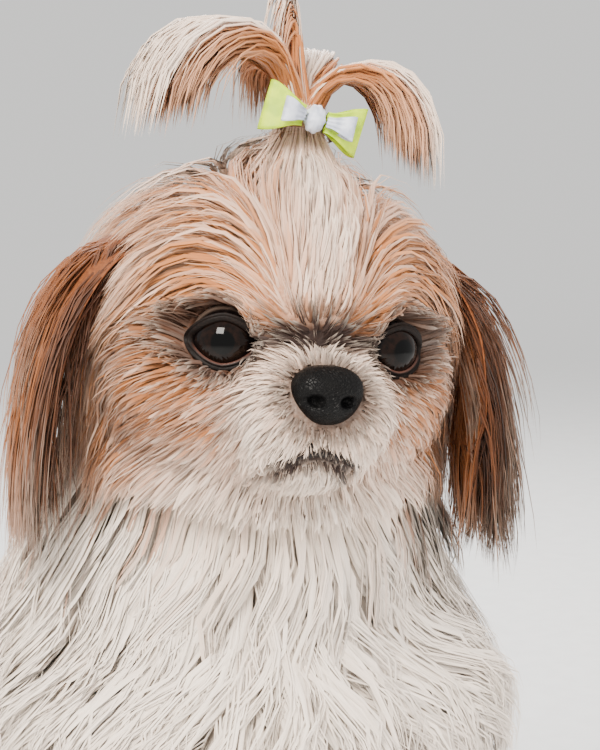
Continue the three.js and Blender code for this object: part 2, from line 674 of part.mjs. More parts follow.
// Tail: a plume carried up and over the back, its hair streaming along it and falling to both sides
const tailField = grown(CORE.tail, tailFlesh);
const tailAxis = new THREE.CatmullRomCurve3(TAIL_JOINTS);
function tailLie(p) {
  const steps = Array.from({ length: 13 }, (_, i) => i / 12);
  const away = (t) => tailAxis.getPoint(t).distanceTo(p);
  const nearest = steps.reduce((best, t) => (away(t) < away(best) ? t : best));
  const aside = p.clone().sub(tailAxis.getPoint(nearest)).normalize();
  return tailAxis.getTangent(nearest).addScaledVector(aside, 0.25).add(vec(0, 0, -0.55)).normalize();
}
coated(
  "tail", 0xe6d8c6,
  (grow) => [cast(TAIL_JOINTS, grown(CORE.tail + grow, tailFlesh), { sides: 8, rings: 6, caps: 2 })],
  {
    seed: 280, lie: tailLie, field: tailField,
    spacing: (p) => (wholeCore(p) < 6 ? 0 : 27),
    style: () => ({ length: 70, width: 13, lift: COAT.tail - CORE.tail, thick: 2.4, sink: 3.5, hold: 0.1 }),
  },
);

// Four toes in a fan at the front of a paw, each with its claw
function toes(paw, grow) {
  return [-1.5, -0.5, 0.5, 1.5].flatMap((place) => {
    const turn = degToRad(22 * place);
    const reach = PAW.y - 1 - 1.6 * Math.abs(place);
    const out = vec(Math.sin(turn), -Math.cos(turn), 0);
    const toe = closed(new THREE.IcosahedronGeometry(TOE.radius + grow, 0));
    const claw = closed(new THREE.ConeGeometry(TOE.claw + grow, TOE.clawLength + grow, 4));
    const tip = out.clone().add(vec(0, 0, -0.7)).normalize();
    claw.applyQuaternion(new THREE.Quaternion().setFromUnitVectors(vec(0, 1, 0), tip));
    const at = paw.clone().addScaledVector(out, reach).setZ(TOE.radius * 0.9);
    const clawAt = at.clone().addScaledVector(tip, TOE.radius + 0.5);
    return [toe.translate(...at.toArray()), claw.translate(...clawAt.toArray())];
  });
}

// A haunch: a ball cast out to the folded thigh
function castHaunch(side, grow) {
  const thigh = grown(CORE.leg + grow, egg(mirrored(HAUNCH, side), R.haunch));
  const form = closed(new THREE.SphereGeometry(1, 11, 7));
  return moved(form, (q) => leaves(mirrored(HAUNCH, side), q.clone().normalize(), thigh));
}

for (const [name, side] of [["left", 1], ["right", -1]]) {
  const at = (joint) => mirrored(joint, side);
  const frontCore = (grow) => [
    cast(
      [SHOULDER, ELBOW, WRIST, FRONT_PAW].map(at), grown(CORE.leg + grow, bothSides(frontLegFlesh)),
      { sides: 9, rings: 5, caps: 2 },
    ),
  ];
  const hindCore = (grow) => [
    castHaunch(side, grow),
    cast(
      [HEEL, HIND_FOOT, HIND_PAW].map(at), grown(CORE.leg + grow, bothSides(hindFootFlesh)),
      { sides: 9, rings: 3, caps: 2 },
    ),
  ];
  const legs = [[`front_leg_${name}`, frontCore, FRONT_PAW], [`hind_leg_${name}`, hindCore, HIND_PAW]];
  legs.forEach(([leg, core, paw], i) => coated(
    leg, 0xe9dfd2,
    (grow) => [...core(grow), ...toes(at(paw), grow)],
    {
      seed: 302 + 50 * i + 10 * side,
      spacing: (p) => (p.z < 14 || p.z > 104 ? 0 : 32),
      style: (p) => ({
        length: lerp(20, 46, smoothstep(p.z, 12, 60)), width: 11, lift: COAT.leg - CORE.leg,
        sink: 3.5, rings: 3,
      }),
    },
    [underFloor],
  ));
}

dog.position.y = -MIDDLE_Y;
export default dog;
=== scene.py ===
# %% [markdown]
# # A shih tzu, sitting, life size
# This lesson dresses a coarse solid model of a small long-haired dog as a museum would show it.
# The solids give every place and size, so they are loaded first and never moved.
# All the hair grows from one skin, combed along the way that the real coat lies.
# Blender's own hair curves have no faces to export, so every strand here is a slim mesh instead.

# %% Load the solids
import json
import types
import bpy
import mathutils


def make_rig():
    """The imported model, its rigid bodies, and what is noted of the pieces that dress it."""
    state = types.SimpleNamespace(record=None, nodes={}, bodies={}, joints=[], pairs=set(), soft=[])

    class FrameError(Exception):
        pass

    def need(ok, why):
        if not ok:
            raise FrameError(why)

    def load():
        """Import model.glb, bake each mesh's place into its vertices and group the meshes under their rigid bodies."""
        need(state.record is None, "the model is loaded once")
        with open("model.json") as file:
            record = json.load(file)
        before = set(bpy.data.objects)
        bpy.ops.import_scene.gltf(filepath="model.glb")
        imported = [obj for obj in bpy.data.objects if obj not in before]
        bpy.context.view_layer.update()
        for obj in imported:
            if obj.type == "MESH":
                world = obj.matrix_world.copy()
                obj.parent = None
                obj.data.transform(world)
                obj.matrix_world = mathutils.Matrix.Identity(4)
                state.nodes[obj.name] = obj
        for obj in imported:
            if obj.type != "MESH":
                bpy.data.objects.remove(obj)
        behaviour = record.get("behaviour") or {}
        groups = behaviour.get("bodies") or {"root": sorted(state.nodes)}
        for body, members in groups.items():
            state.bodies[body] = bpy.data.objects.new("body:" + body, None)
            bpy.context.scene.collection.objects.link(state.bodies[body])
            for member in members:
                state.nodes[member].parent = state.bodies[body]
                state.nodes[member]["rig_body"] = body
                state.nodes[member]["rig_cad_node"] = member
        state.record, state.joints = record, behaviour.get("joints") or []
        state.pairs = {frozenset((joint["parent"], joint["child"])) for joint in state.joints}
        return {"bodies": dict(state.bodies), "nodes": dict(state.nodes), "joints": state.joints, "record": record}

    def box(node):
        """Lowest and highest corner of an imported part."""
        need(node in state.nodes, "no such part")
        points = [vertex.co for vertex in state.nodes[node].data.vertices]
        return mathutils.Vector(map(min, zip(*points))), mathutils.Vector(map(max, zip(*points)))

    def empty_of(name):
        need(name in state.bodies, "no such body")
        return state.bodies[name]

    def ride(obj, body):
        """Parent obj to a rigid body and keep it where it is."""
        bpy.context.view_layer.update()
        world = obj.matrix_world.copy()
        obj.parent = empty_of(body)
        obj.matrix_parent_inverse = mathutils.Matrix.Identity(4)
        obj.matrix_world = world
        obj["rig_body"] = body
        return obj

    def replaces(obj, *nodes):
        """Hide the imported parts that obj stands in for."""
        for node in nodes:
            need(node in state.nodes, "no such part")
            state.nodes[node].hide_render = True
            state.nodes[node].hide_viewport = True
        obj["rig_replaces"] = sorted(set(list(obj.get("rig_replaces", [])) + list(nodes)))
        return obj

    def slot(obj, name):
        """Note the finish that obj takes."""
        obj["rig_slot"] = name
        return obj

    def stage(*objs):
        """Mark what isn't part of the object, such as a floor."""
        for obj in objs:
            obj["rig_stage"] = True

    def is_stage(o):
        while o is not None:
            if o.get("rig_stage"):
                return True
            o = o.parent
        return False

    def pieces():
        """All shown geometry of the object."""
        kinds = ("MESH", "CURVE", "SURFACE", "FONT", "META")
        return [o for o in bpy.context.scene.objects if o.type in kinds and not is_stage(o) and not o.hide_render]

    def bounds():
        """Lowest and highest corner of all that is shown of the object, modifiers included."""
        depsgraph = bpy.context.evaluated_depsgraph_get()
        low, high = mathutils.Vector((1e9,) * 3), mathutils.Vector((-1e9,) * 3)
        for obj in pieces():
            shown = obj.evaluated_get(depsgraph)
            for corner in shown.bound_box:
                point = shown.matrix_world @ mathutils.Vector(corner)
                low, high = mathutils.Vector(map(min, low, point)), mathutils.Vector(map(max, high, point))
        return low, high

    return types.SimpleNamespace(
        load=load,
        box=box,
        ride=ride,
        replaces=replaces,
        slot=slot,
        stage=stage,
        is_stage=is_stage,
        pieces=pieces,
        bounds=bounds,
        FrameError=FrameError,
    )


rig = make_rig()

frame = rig.load()

import json
import math

import bpy
import numpy as np
from mathutils import Matrix
from mathutils.geometry import interpolate_bezier
from mathutils.kdtree import KDTree

solid_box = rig.bounds()
print("solids reach", solid_box)

# %% [markdown]
# ## Units
# The dog was measured in millimetres, with the floor at zero and its middle at 30 mm along Y.
# Working in the same millimetres keeps the anatomy readable. One helper turns points into metres at the end.

# %% From the dog's millimetres to the scene's metres
MM = 0.001
MIDDLE_Y = 30


def in_metres(points):
    return (np.asarray(points, float) - (0, MIDDLE_Y, 0)) * MM


def smooth(x, low, high):
    t = np.clip((np.asarray(x, float) - low) / (high - low), 0, 1)
    return t * t * (3 - 2 * t)


def unit(v):
    return v / np.maximum(np.linalg.norm(v, axis=-1, keepdims=True), 1e-9)


def blend(a, b, t):
    return a + (b - a) * t


print("a point 100 mm up is at", in_metres((0, MIDDLE_Y, 100)), "m")

# %% [markdown]
# ## Camera and light
# The picture looks slightly down on a head that is turned a little towards us, from the dog's right side.
# A long lens at about 60 cm keeps the short muzzle from swelling, as a portrait lens does.
# A camera could be moved until the picture looks right.
# Aimed from the nose's own box, it stays right if the dog moves.

# %% The camera, aimed by the nose
VIEW = {"azimuth": -21, "elevation": 8.5, "lens": 100, "away": 0.625}
FRAME_HEIGHT = 0.220
PIXELS = (600, 750)
NOSE_PIXEL = (326, 395)

nose_low, nose_high = (np.array(corner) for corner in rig.box("nose"))
nose_centre = (nose_low + nose_high) / 2
azimuth = math.radians(VIEW["azimuth"])
elevation = math.radians(VIEW["elevation"])
level = math.cos(elevation)
back = np.array([math.sin(azimuth) * level, -math.cos(azimuth) * level, math.sin(elevation)])
right = np.array([math.cos(azimuth), math.sin(azimuth), 0])
up = np.cross(back, right)
per_pixel = FRAME_HEIGHT / PIXELS[1]
target = nose_centre - right * (NOSE_PIXEL[0] - PIXELS[0] / 2) * per_pixel
target = target + up * (NOSE_PIXEL[1] - PIXELS[1] / 2) * per_pixel

camera_data = bpy.data.cameras.new("camera")
camera_data.lens = VIEW["lens"]
camera_data.clip_start = 0.01
camera = bpy.data.objects.new("camera", camera_data)
bpy.context.scene.collection.objects.link(camera)
turned = Matrix((right, up, back)).transposed().to_4x4()
turned.translation = target + back * VIEW["away"]
camera.matrix_world = turned
bpy.context.scene.camera = camera
print("camera at", [round(v, 3) for v in turned.translation])

# %% Three soft lamps and a pale room
LAMP_AIM = (0, -0.05, 0.25)


def add_lamp(name, place, size, watts, colour):
    data = bpy.data.lights.new(name, "AREA")
    data.size = size
    data.energy = watts
    data.color = colour
    lamp = bpy.data.objects.new(name, data)
    bpy.context.scene.collection.objects.link(lamp)
    place = np.array(place)
    z = unit(place - LAMP_AIM)
    x = unit(np.cross((0, 0, 1), z))
    facing = Matrix((x, np.cross(z, x), z)).transposed().to_4x4()
    facing.translation = place
    lamp.matrix_world = facing
    return lamp


add_lamp("key", (-0.75, -1.0, 1.25), 0.6, 54, (1, 0.94, 0.86))
fill = add_lamp("fill", (1.2, -0.9, 0.6), 1.0, 17, (1, 0.97, 0.94))
fill.visible_glossy = False
add_lamp("rim", (0.35, 1.1, 1.2), 0.9, 34, (1, 0.98, 0.95))

world = bpy.data.worlds.new("room")
world.use_nodes = True
ROOM = (0.93, 0.92, 0.90, 1)
ROOM_LIGHT = 1.05
world.node_tree.nodes["Background"].inputs["Color"].default_value = ROOM
world.node_tree.nodes["Background"].inputs["Strength"].default_value = ROOM_LIGHT
bpy.context.scene.world = world
print("lamps:", [thing.name for thing in bpy.data.objects if thing.type == "LIGHT"])

# %% [markdown]
# ## Shader maths
# A material is a graph of sockets. Its nodes can be dragged together by hand, but nobody can read that back.
# Wrapping a socket in a small class lets the graph be written as a formula instead.

# %% Colours as a screen shows them


def paint(red, green, blue):
    """A colour as a screen shows it, as the linear light that a shader wants."""
    return tuple(c / 12.92 if c <= 0.04 else ((c + 0.055) / 1.055) ** 2.4 for c in (red, green, blue)) + (1,)


print("a screen's mid grey is", round(paint(0.5, 0.5, 0.5)[0], 3), "as linear light")

# %% A socket that can be added and multiplied


class Wire:
    """A socket of a material's graph, which formulas use like a number."""

    def __init__(self, tree, socket=None):
        self.tree = tree
        self.socket = socket

    def node(self, kind, settings=None, values=None, output=0):
        """A new node: its settings first, then the numbers or wires of its sockets."""
        made = self.tree.nodes.new(kind)
        for name, value in (settings or {}).items():
            setattr(made, name, value)
        for key, value in (values or {}).items():
            if isinstance(value, Wire):
                self.tree.links.new(value.socket, made.inputs[key])
            else:
                made.inputs[key].default_value = value
        return Wire(self.tree, made.outputs[output])

    def maths(self, operation, first, second):
        return self.node("ShaderNodeMath", {"operation": operation}, {0: first, 1: second})

    def __add__(self, other):
        return self.maths("ADD", self, other)

    __radd__ = __add__

    def __mul__(self, other):
        return self.maths("MULTIPLY", self, other)

    __rmul__ = __mul__

    def __sub__(self, other):
        return self.maths("SUBTRACT", self, other)

    def __rsub__(self, other):
        return self.maths("SUBTRACT", other, self)

    def between(self, low, high):
        """0 below low, 1 above high, and a smooth step from one to the other."""
        values = {"Value": self, "From Min": low, "From Max": high}
        return self.node("ShaderNodeMapRange", {"interpolation_type": "SMOOTHSTEP"}, values)

    def mix(self, from_colour, to_colour, mode="MIX"):
        settings = {"data_type": "RGBA", "blend_type": mode}
        return self.node("ShaderNodeMix", settings, {0: self, 6: from_colour, 7: to_colour}, 2)

    def tinted(self, colour):
        """This colour times another one."""
        settings = {"data_type": "RGBA", "blend_type": "MULTIPLY"}
        return self.node("ShaderNodeMix", settings, {0: 1.0, 6: self, 7: colour}, 2)

    def attribute(self, name):
        return self.node("ShaderNodeAttribute", {"attribute_name": name}, None, 2)

    def place(self):
        return self.node("ShaderNodeTexCoord", None, None, 3)

    def noise(self, scale, detail=3.0, at=None):
        values = {"Vector": at or self.place(), "Scale": scale, "Detail": detail}
        return self.node("ShaderNodeTexNoise", None, values)

    def bump(self, height, strength, distance):
        values = {"Height": height, "Strength": strength, "Distance": distance}
        return self.node("ShaderNodeBump", None, values)


# %% A new finish and what feeds it


def new_finish(name, **fixed):
    """A material with fixed socket values, and a wire to begin its formulas with."""
    made = bpy.data.materials.new(name)
    made.use_nodes = True
    shader = made.node_tree.nodes["Principled BSDF"]
    for socket, value in fixed.items():
        shader.inputs[socket.replace("_", " ")].default_value = value
    return made, Wire(made.node_tree), shader


def feed(shader, **wires):
    """Link what changes over the surface to the shader's sockets."""
    for socket, wire in wires.items():
        wire.tree.links.new(wire.socket, shader.inputs[socket.replace("_", " ")])


# %% [markdown]
# ## The floor
# A plain pale floor shows the dog's soft shadow, which tells the eye that it has weight.
# A small plane would end in a hard edge before the room.
# This one is wide and fades into the room's own light.

# %% A wide disc that fades away
FLOOR_RADIUS = 14
FADE_FROM, FADE_TO = 0.5, 3.0

floor_finish, wire, shader = new_finish("pale floor", Roughness=0.6)
speckle = wire.noise(60.0).between(0.3, 0.7)
feed(shader, Base_Color=speckle.mix(paint(0.90, 0.90, 0.90), paint(0.92, 0.92, 0.92)))
glow = wire.node("ShaderNodeEmission", None, {"Color": ROOM, "Strength": ROOM_LIGHT})
away = wire.node("ShaderNodeVectorMath", {"operation": "LENGTH"}, {0: wire.place()}, 1)
far = away.between(FADE_FROM, FADE_TO)
blended = wire.node("ShaderNodeMixShader", None, {0: far, 1: Wire(wire.tree, shader.outputs[0]), 2: glow})
wire.tree.links.new(blended.socket, wire.tree.nodes["Material Output"].inputs["Surface"])

bpy.ops.mesh.primitive_circle_add(vertices=96, radius=FLOOR_RADIUS, fill_type="NGON")
floor = bpy.context.object
floor.name = "floor"
floor.data.materials.append(floor_finish)
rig.stage(floor)
print("floor:", 2 * FLOOR_RADIUS, "m across")

# %% [markdown]
# ## Anatomy
# These are the joints of the sitting body, with the radius of the flesh at each.
# A sitting dog folds its haunches beside the belly and stands on straight front legs, a little apart.
# Such a figure could be sculpted by hand.
# Named joints can be measured, compared with a real dog and corrected.

# %% Joints and radii, in millimetres
WITHERS, LOIN, RUMP = (0, -12, 190), (0, 36, 130), (0, 84, 60)
STERNUM = (0, -46, 172)
NECK_FOOT, NECK_TOP = (0, -24, 216), (0, -54, 280)
SHOULDER, ELBOW, WRIST, FRONT_PAW = (40, -38, 172), (44, -42, 108), (42, -64, 38), (42, -76, 13)
HAUNCH, HEEL, HIND_FOOT, HIND_PAW = (50, 58, 54), (56, 86, 14), (59, 34, 14), (61, 8, 12)
TAIL = np.array([(0, 122, 66), (-2, 152, 96), (-8, 160, 140), (-16, 134, 172), (-22, 100, 176)], float)
TAIL_RADII = (13, 11, 9, 7, 5)
PAW = (14, 19, 12)
TOE_RADIUS = 6.6
TOE_PLACES = (-1.5, -0.5, 0.5, 1.5)
TOE_FAN = math.radians(22)

HEAD_AT = np.array([0, -74, 318.0])
HEAD_TURN = np.array(
    Matrix.Rotation(math.radians(-4), 3, "Z")
    @ Matrix.Rotation(math.radians(5), 3, "Y")
    @ Matrix.Rotation(math.radians(-2), 3, "X")
)
EYE_AT = np.array([25.5, -29.5, 0])
EYE_RADIUS = 11
EYE_OUT = math.radians(20)
EYE_OPENING = (8.6, 6.6)
EYE_POUCH = (9.3, 7.3)
NOSE_AT = np.array([0, -55, -13.0])
NOSE_SIZE = np.array([11, 8, 9.0])
BAND_AT = np.array([3, 2, 66.0])
BAND_RADIUS = 6.5


def from_head(q):
    return q @ HEAD_TURN.T + HEAD_AT


def into_head(p):
    return (p - HEAD_AT) @ HEAD_TURN


print("middle of the head:", HEAD_AT[2], "mm above the floor")

# %% [markdown]
# ## Flesh as a distance field
# Every point of space knows how far it is from the flesh, as a tapered limb or an egg gives it.
# Joining separate balls and tubes would leave creases between them.
# Melting their distances together joins the forms the way muscle and skin join over bone.

# %% Limbs, eggs and how they melt together


def limb(start, end, start_radius, end_radius):
    start = np.array(start, float)
    axis = np.array(end, float) - start

    def distance(p):
        t = np.clip((p - start) @ axis / (axis @ axis), 0, 1)
        q = p - start - t[:, None] * axis
        return np.sqrt(np.einsum("ij,ij->i", q, q)) - blend(start_radius, end_radius, t)

    return distance


def egg(centre, radii):
    centre = np.array(centre, float)
    radii = np.array(radii, float)

    def distance(p):
        q = (p - centre) / radii
        near = np.sqrt(np.einsum("ij,ij->i", q, q))
        steep = q / radii
        return near * (near - 1) / np.maximum(np.sqrt(np.einsum("ij,ij->i", steep, steep)), 1e-6)

    return distance


def melt(softness, *shapes):
    def distance(p):
        best = shapes[0](p)
        for shape in shapes[1:]:
            d = shape(p)
            h = np.maximum(softness - np.abs(best - d), 0) / softness
            best = np.minimum(best, d) - h * h * softness / 4
        return best

    return distance


def both_sides(shape):
    return lambda p: shape(np.column_stack((np.abs(p[:, 0]), p[:, 1], p[:, 2])))


def near_only(centre, reach, shape):
    """The shape's own distance inside a ball, and a plain large one outside, to save work."""
    centre = np.array(centre, float)

    def distance(p):
        q = p - centre
        away = np.sqrt(np.einsum("ij,ij->i", q, q)) - reach
        found = np.maximum(away, 0) + 40
        close = away < 0
        if close.any():
            found[close] = shape(p[close])
        return found

    return distance


# %% The head, in its own frame
head_flesh = melt(
    10,
    egg((0, 12, 6), (43, 46, 38)),
    egg((0, -12, 10), (35, 32, 28)),
    both_sides(egg((25, -12, -14), (21, 27, 21))),
    egg((0, -38, -17), (20, 17, 14)),
    both_sides(egg((9.5, -45, -21), (11.5, 11, 10.5))),
    egg((0, -33, -34), (17, 17, 9)),
    egg((0, -8, -24), (31, 30, 18)),
)

# %% Neck, trunk, legs and tail
neck_flesh = limb(NECK_FOOT, NECK_TOP, 52, 42)
torso_flesh = melt(
    24,
    limb(WITHERS, LOIN, 56, 57),
    limb(LOIN, RUMP, 57, 55),
    limb(WITHERS, STERNUM, 40, 40),
    both_sides(limb(SHOULDER, blend(np.array(SHOULDER), np.array(ELBOW), 0.3), 24, 16)),
)


def toes(paw):
    """Four toes in a fan at the front of a paw."""
    found = []
    for place in TOE_PLACES:
        turn = TOE_FAN * place
        reach = PAW[1] - 1 - 1.6 * abs(place)
        found.append((paw[0] + math.sin(turn) * reach, paw[1] - math.cos(turn) * reach, TOE_RADIUS + 0.4))
    return found


front_leg_flesh = melt(
    7,
    limb(SHOULDER, ELBOW, 24, 16),
    limb(ELBOW, WRIST, 16, 12),
    egg(FRONT_PAW, PAW),
    melt(2, *[egg(toe, (TOE_RADIUS,) * 3) for toe in toes(FRONT_PAW)]),
)
hind_leg_flesh = melt(
    8,
    egg(HAUNCH, (30, 52, 42)),
    limb(HEEL, HIND_FOOT, 11, 11),
    egg(HIND_PAW, PAW),
    melt(2, *[egg(toe, (TOE_RADIUS,) * 3) for toe in toes(HIND_PAW)]),
)
tail_flesh = melt(6, *[limb(*TAIL[i:i + 2], *TAIL_RADII[i:i + 2]) for i in range(len(TAIL) - 1)])

# %% The whole dog
body_flesh = melt(
    8,
    near_only((0, -40, 248), 130, neck_flesh),
    torso_flesh,
    near_only((0, -50, 90), 150, both_sides(front_leg_flesh)),
    near_only((0, 50, 40), 140, both_sides(hind_leg_flesh)),
    near_only((0, 140, 120), 120, tail_flesh),
)


FLOOR_GAP = 0.4


def whole_flesh(p):
    """The whole dog, cut off just above the floor."""
    head = near_only(HEAD_AT, 100, lambda q: head_flesh(into_head(q)))
    return np.maximum(melt(8, head, body_flesh)(p), FLOOR_GAP - p[:, 2])


def slope(field, p, e=0.5):
    """The way out of the surface at each point."""
    steps = [field(p + e * axis) - field(p - e * axis) for axis in np.eye(3)]
    return unit(np.column_stack(steps))


depth = -float(whole_flesh(HEAD_AT[None])[0])
print("the head's middle is", round(depth, 1), "mm under the skin")

# %% [markdown]
# ## From the field to a skin
# A surface net lays one point in every small cell that the surface crosses, and joins neighbours to quads.
# Blender's own voxel remesh has cells of one size. Here they are finer round the face, where the folds are,
# and a short slide along the slope settles each point.

# %% A surface net over uneven cells
SLABS = 24


def surface_net(field, axes):
    """Points and quads where the field is zero, worked out slab by slab to save memory."""
    grid = np.stack(np.meshgrid(*axes, indexing="ij"), -1)
    shape = grid.shape[:3]
    values = np.concatenate([field(slab) for slab in np.array_split(grid.reshape(-1, 3), SLABS)])
    values = values.reshape(shape)
    inside = values < 0
    total = np.zeros(tuple(n - 1 for n in shape) + (3,))
    count = np.zeros(tuple(n - 1 for n in shape), int)
    crossings = []
    for axis in range(3):
        low = [slice(None)] * 3
        high = [slice(None)] * 3
        low[axis] = slice(None, -1)
        high[axis] = slice(1, None)
        crossed = inside[tuple(low)] != inside[tuple(high)]
        first, second = [other for other in range(3) if other != axis]
        for border in (first, second):
            crossed[tuple(slice(None) if k != border else 0 for k in range(3))] = False
            crossed[tuple(slice(None) if k != border else -1 for k in range(3))] = False
        at = np.argwhere(crossed)
        next_at = at.copy()
        next_at[:, axis] += 1
        here = values[tuple(at.T)]
        there = values[tuple(next_at.T)]
        t = (here / (here - there))[:, None]
        points = blend(grid[tuple(at.T)], grid[tuple(next_at.T)], t)
        corners = []
        for back_first, back_second in ((1, 1), (0, 1), (0, 0), (1, 0)):
            cell = at.copy()
            cell[:, first] -= back_first
            cell[:, second] -= back_second
            np.add.at(total, tuple(cell.T), points)
            np.add.at(count, tuple(cell.T), 1)
            corners.append(cell)
        outwards = inside[tuple(at.T)] != (axis == 1)
        crossings.append((corners, outwards))
    used = count > 0
    number = np.full(count.shape, -1)
    number[used] = np.arange(used.sum())
    points = total[used] / count[used][:, None]
    quads = []
    for corners, outwards in crossings:
        quad = np.column_stack([number[tuple(cell.T)] for cell in corners])
        quad[~outwards] = quad[~outwards][:, ::-1]
        quads.append(quad)
    return points, np.concatenate(quads)


def settle(field, points, rounds):
    """Slide points along the slope onto the surface."""
    for _ in range(rounds):
        points = points - slope(field, points) * np.clip(field(points), -1, 1)[:, None]
    return points


# %% A piece from points and faces


def add_mesh(name, points, faces, finish):
    """A piece with smooth shading, from points in the dog's millimetres."""
    faces = np.asarray(faces)
    mesh = bpy.data.meshes.new(name)
    mesh.vertices.add(len(points))
    mesh.vertices.foreach_set("co", in_metres(points).ravel())
    mesh.loops.add(faces.size)
    mesh.loops.foreach_set("vertex_index", faces.ravel())
    mesh.polygons.add(len(faces))
    mesh.polygons.foreach_set("loop_start", np.arange(0, faces.size, faces.shape[1]))
    mesh.polygons.foreach_set("use_smooth", np.full(len(faces), True))
    mesh.update(calc_edges=True)
    mesh.materials.append(finish)
    piece = bpy.data.objects.new(name, mesh)
    bpy.context.scene.collection.objects.link(piece)
    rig.ride(piece, "root")
    return piece


def add_values(piece, **values):
    """Named numbers, one for each point, for the finish to read."""
    for name, numbers in values.items():
        layer = piece.data.attributes.new(name, "FLOAT", "POINT")
        layer.data.foreach_set("value", np.asarray(numbers, np.float32))


# %% [markdown]
# ## Sockets and mouth
# Real lids close over a ball in a hollow, and the lips meet in a fold, so both are cut out of the flesh.
# Paint alone would look flat as soon as the light comes from the side. A cut in the field is one subtraction.

# %% Where the eyes look
UP = np.array([0, 0, 1.0])
SOCKET_GAP = 0.4


def eye_centre(side):
    return EYE_AT * (side, 1, 1)


def gaze(side):
    return np.array([side * math.sin(EYE_OUT), -math.cos(EYE_OUT), 0])


def across_gaze(side):
    """The level direction that is square to the gaze."""
    look = gaze(side)
    return np.array([-look[1], look[0], 0])


print("eyes turned out by", round(math.degrees(EYE_OUT)), "degrees")

# %% The line of the mouth, on the surface of the muzzle
RAY_REACH = 90.0
RAY_HALVINGS = 26


def walk_out(start, direction):
    """Where a ray from inside the head leaves it."""
    low = np.zeros(len(start))
    high = np.full(len(start), RAY_REACH)
    for _ in range(RAY_HALVINGS):
        middle = (low + high) / 2
        outside = head_flesh(start + direction * middle[:, None]) > 0
        high = np.where(outside, middle, high)
        low = np.where(outside, low, middle)
    return start + direction * low[:, None]


MOUTH_DROP = 29
MOUTH_HALF = 17
MOUTH_AIM = 0.8
MOUTH_ARCH = 8
MOUTH_POINTS = 33
MOUTH_GROOVE = 1.1


def mouth_height(x):
    """The height of the closed mouth's line, which is arched, at a distance from the middle."""
    return -MOUTH_DROP - MOUTH_ARCH * (np.abs(x) / (MOUTH_HALF * MOUTH_AIM)) ** 1.6


def mouth_line(lift=0.0):
    """The line on the muzzle, seen from inside it and aimed a little to both sides."""
    u = np.linspace(-1, 1, MOUTH_POINTS)
    x = MOUTH_HALF * MOUTH_AIM * u
    start = np.column_stack((x, np.full(MOUTH_POINTS, -18.0), mouth_height(x) + lift))
    return walk_out(start, unit(np.column_stack((u * 0.24, -np.ones(MOUTH_POINTS), 0 * u))))


mouth = mouth_line()
bends = mouth[::4]
grooves = [limb(a, b, MOUTH_GROOVE, MOUTH_GROOVE) for a, b in zip(bends, bends[1:])]
mouth_groove = melt(1, *grooves)
print("mouth:", round(float(mouth[-1, 0] - mouth[0, 0]), 1), "mm from corner to corner")

# %% The skin, with its sockets and the mouth's fold
COARSE, FINE = 4.0, 1.7


def skin_field(p):
    q = into_head(p)
    found = whole_flesh(p)
    for side in (-1, 1):
        ball = np.linalg.norm(q - eye_centre(side), axis=1) - EYE_RADIUS - SOCKET_GAP
        found = np.maximum(found, -ball)
    return np.maximum(found, -near_only((0, -40, -32), 40, mouth_groove)(q))


def cells(low, high, fine_low, fine_high):
    """Cell borders from low to high, close together over the fine part."""
    before = np.arange(low, fine_low, COARSE)
    after = np.arange(fine_high, high + COARSE, COARSE)
    return np.concatenate((before, np.arange(fine_low, fine_high, FINE), after))


skin_axes = [cells(-92, 92, -48, 48), cells(-156, 180, -142, -62), cells(-4, 372, 278, 346)]
skin_points, skin_quads = surface_net(skin_field, skin_axes)
skin_points = settle(skin_field, skin_points, 3)
print("skin:", len(skin_points), "points,", len(skin_quads), "quads")

# %% [markdown]
# ## Ears
# A shih tzu's ear is a thin leather flap that hangs from the side of the crown, cupped towards the head.
# The field's cells are too coarse for anything so thin.
# So it is one sheet with a thickness, swept along a bent axis, and it belongs to the same skin.

# %% The named joints of the flap's axis
EAR_JOINTS = np.array([(34, 8, 28), (56, 9, 27), (70, 10, 9), (76, 11, -14), (77, 12, -36)], float)
EAR_HALF_WIDTH = 19
EAR_HALF_THICK = 1.5
EAR_CUP = 5
print("ear:", 2 * EAR_HALF_WIDTH, "mm wide,", 2 * EAR_HALF_THICK, "mm thick")

# %% A smooth curve through joints, and the flap's own places


def along_curve(joints, t):
    """A smooth curve through joints, and its direction, at each t from 0 to 1."""
    joints = np.vstack([2 * joints[0] - joints[1], joints, 2 * joints[-1] - joints[-2]])
    pieces = len(joints) - 3
    place = np.clip(np.asarray(t, float), 0, 1) * pieces
    i = np.minimum(place.astype(int), pieces - 1)
    s = (place - i)[:, None]
    p0, p1, p2, p3 = (joints[i + k] for k in range(4))
    c1 = (p2 - p0) / 2
    c2 = p0 - 2.5 * p1 + 2 * p2 - 0.5 * p3
    c3 = -0.5 * p0 + 1.5 * p1 - 1.5 * p2 + 0.5 * p3
    return p1 + c1 * s + c2 * s**2 + c3 * s**3, unit(c1 + 2 * c2 * s + 3 * c3 * s**2)


def ear_place(side, t, u):
    """A place on the flap: t from root to tip, u from its front edge at -1 to its back edge at 1."""
    at, along = along_curve(EAR_JOINTS * (side, 1, 1), t)
    across = unit(np.array([0, 1, 0]) - along * along[:, 1:2])
    out = np.cross(along, across) * side
    t = np.asarray(t, float)
    wide = EAR_HALF_WIDTH * blend(0.45, 1, np.sin(np.minimum(t / 0.6, 1) * math.pi / 2))
    wide = wide * np.sqrt(np.clip(1 - smooth(t, 0.8, 1.05) ** 2, 0, 1))
    u = np.asarray(u, float)
    return at + across * (u * wide)[:, None] - out * (EAR_CUP * u * u)[:, None], along, across, out


# %% The flap as a sheet of quads


def grid_faces(rows, columns, closed_rows=False):
    """Quads of a sheet of rows by columns; closed_rows joins the last column to the first."""
    here = np.arange(rows - 1)[:, None] * columns
    above = here + columns
    column = np.arange(columns if closed_rows else columns - 1)[None, :]
    beside = (column + 1) % columns
    corners = (here + column, here + beside, above + beside, above + column)
    return np.stack(np.broadcast_arrays(*corners), -1).reshape(-1, 4)


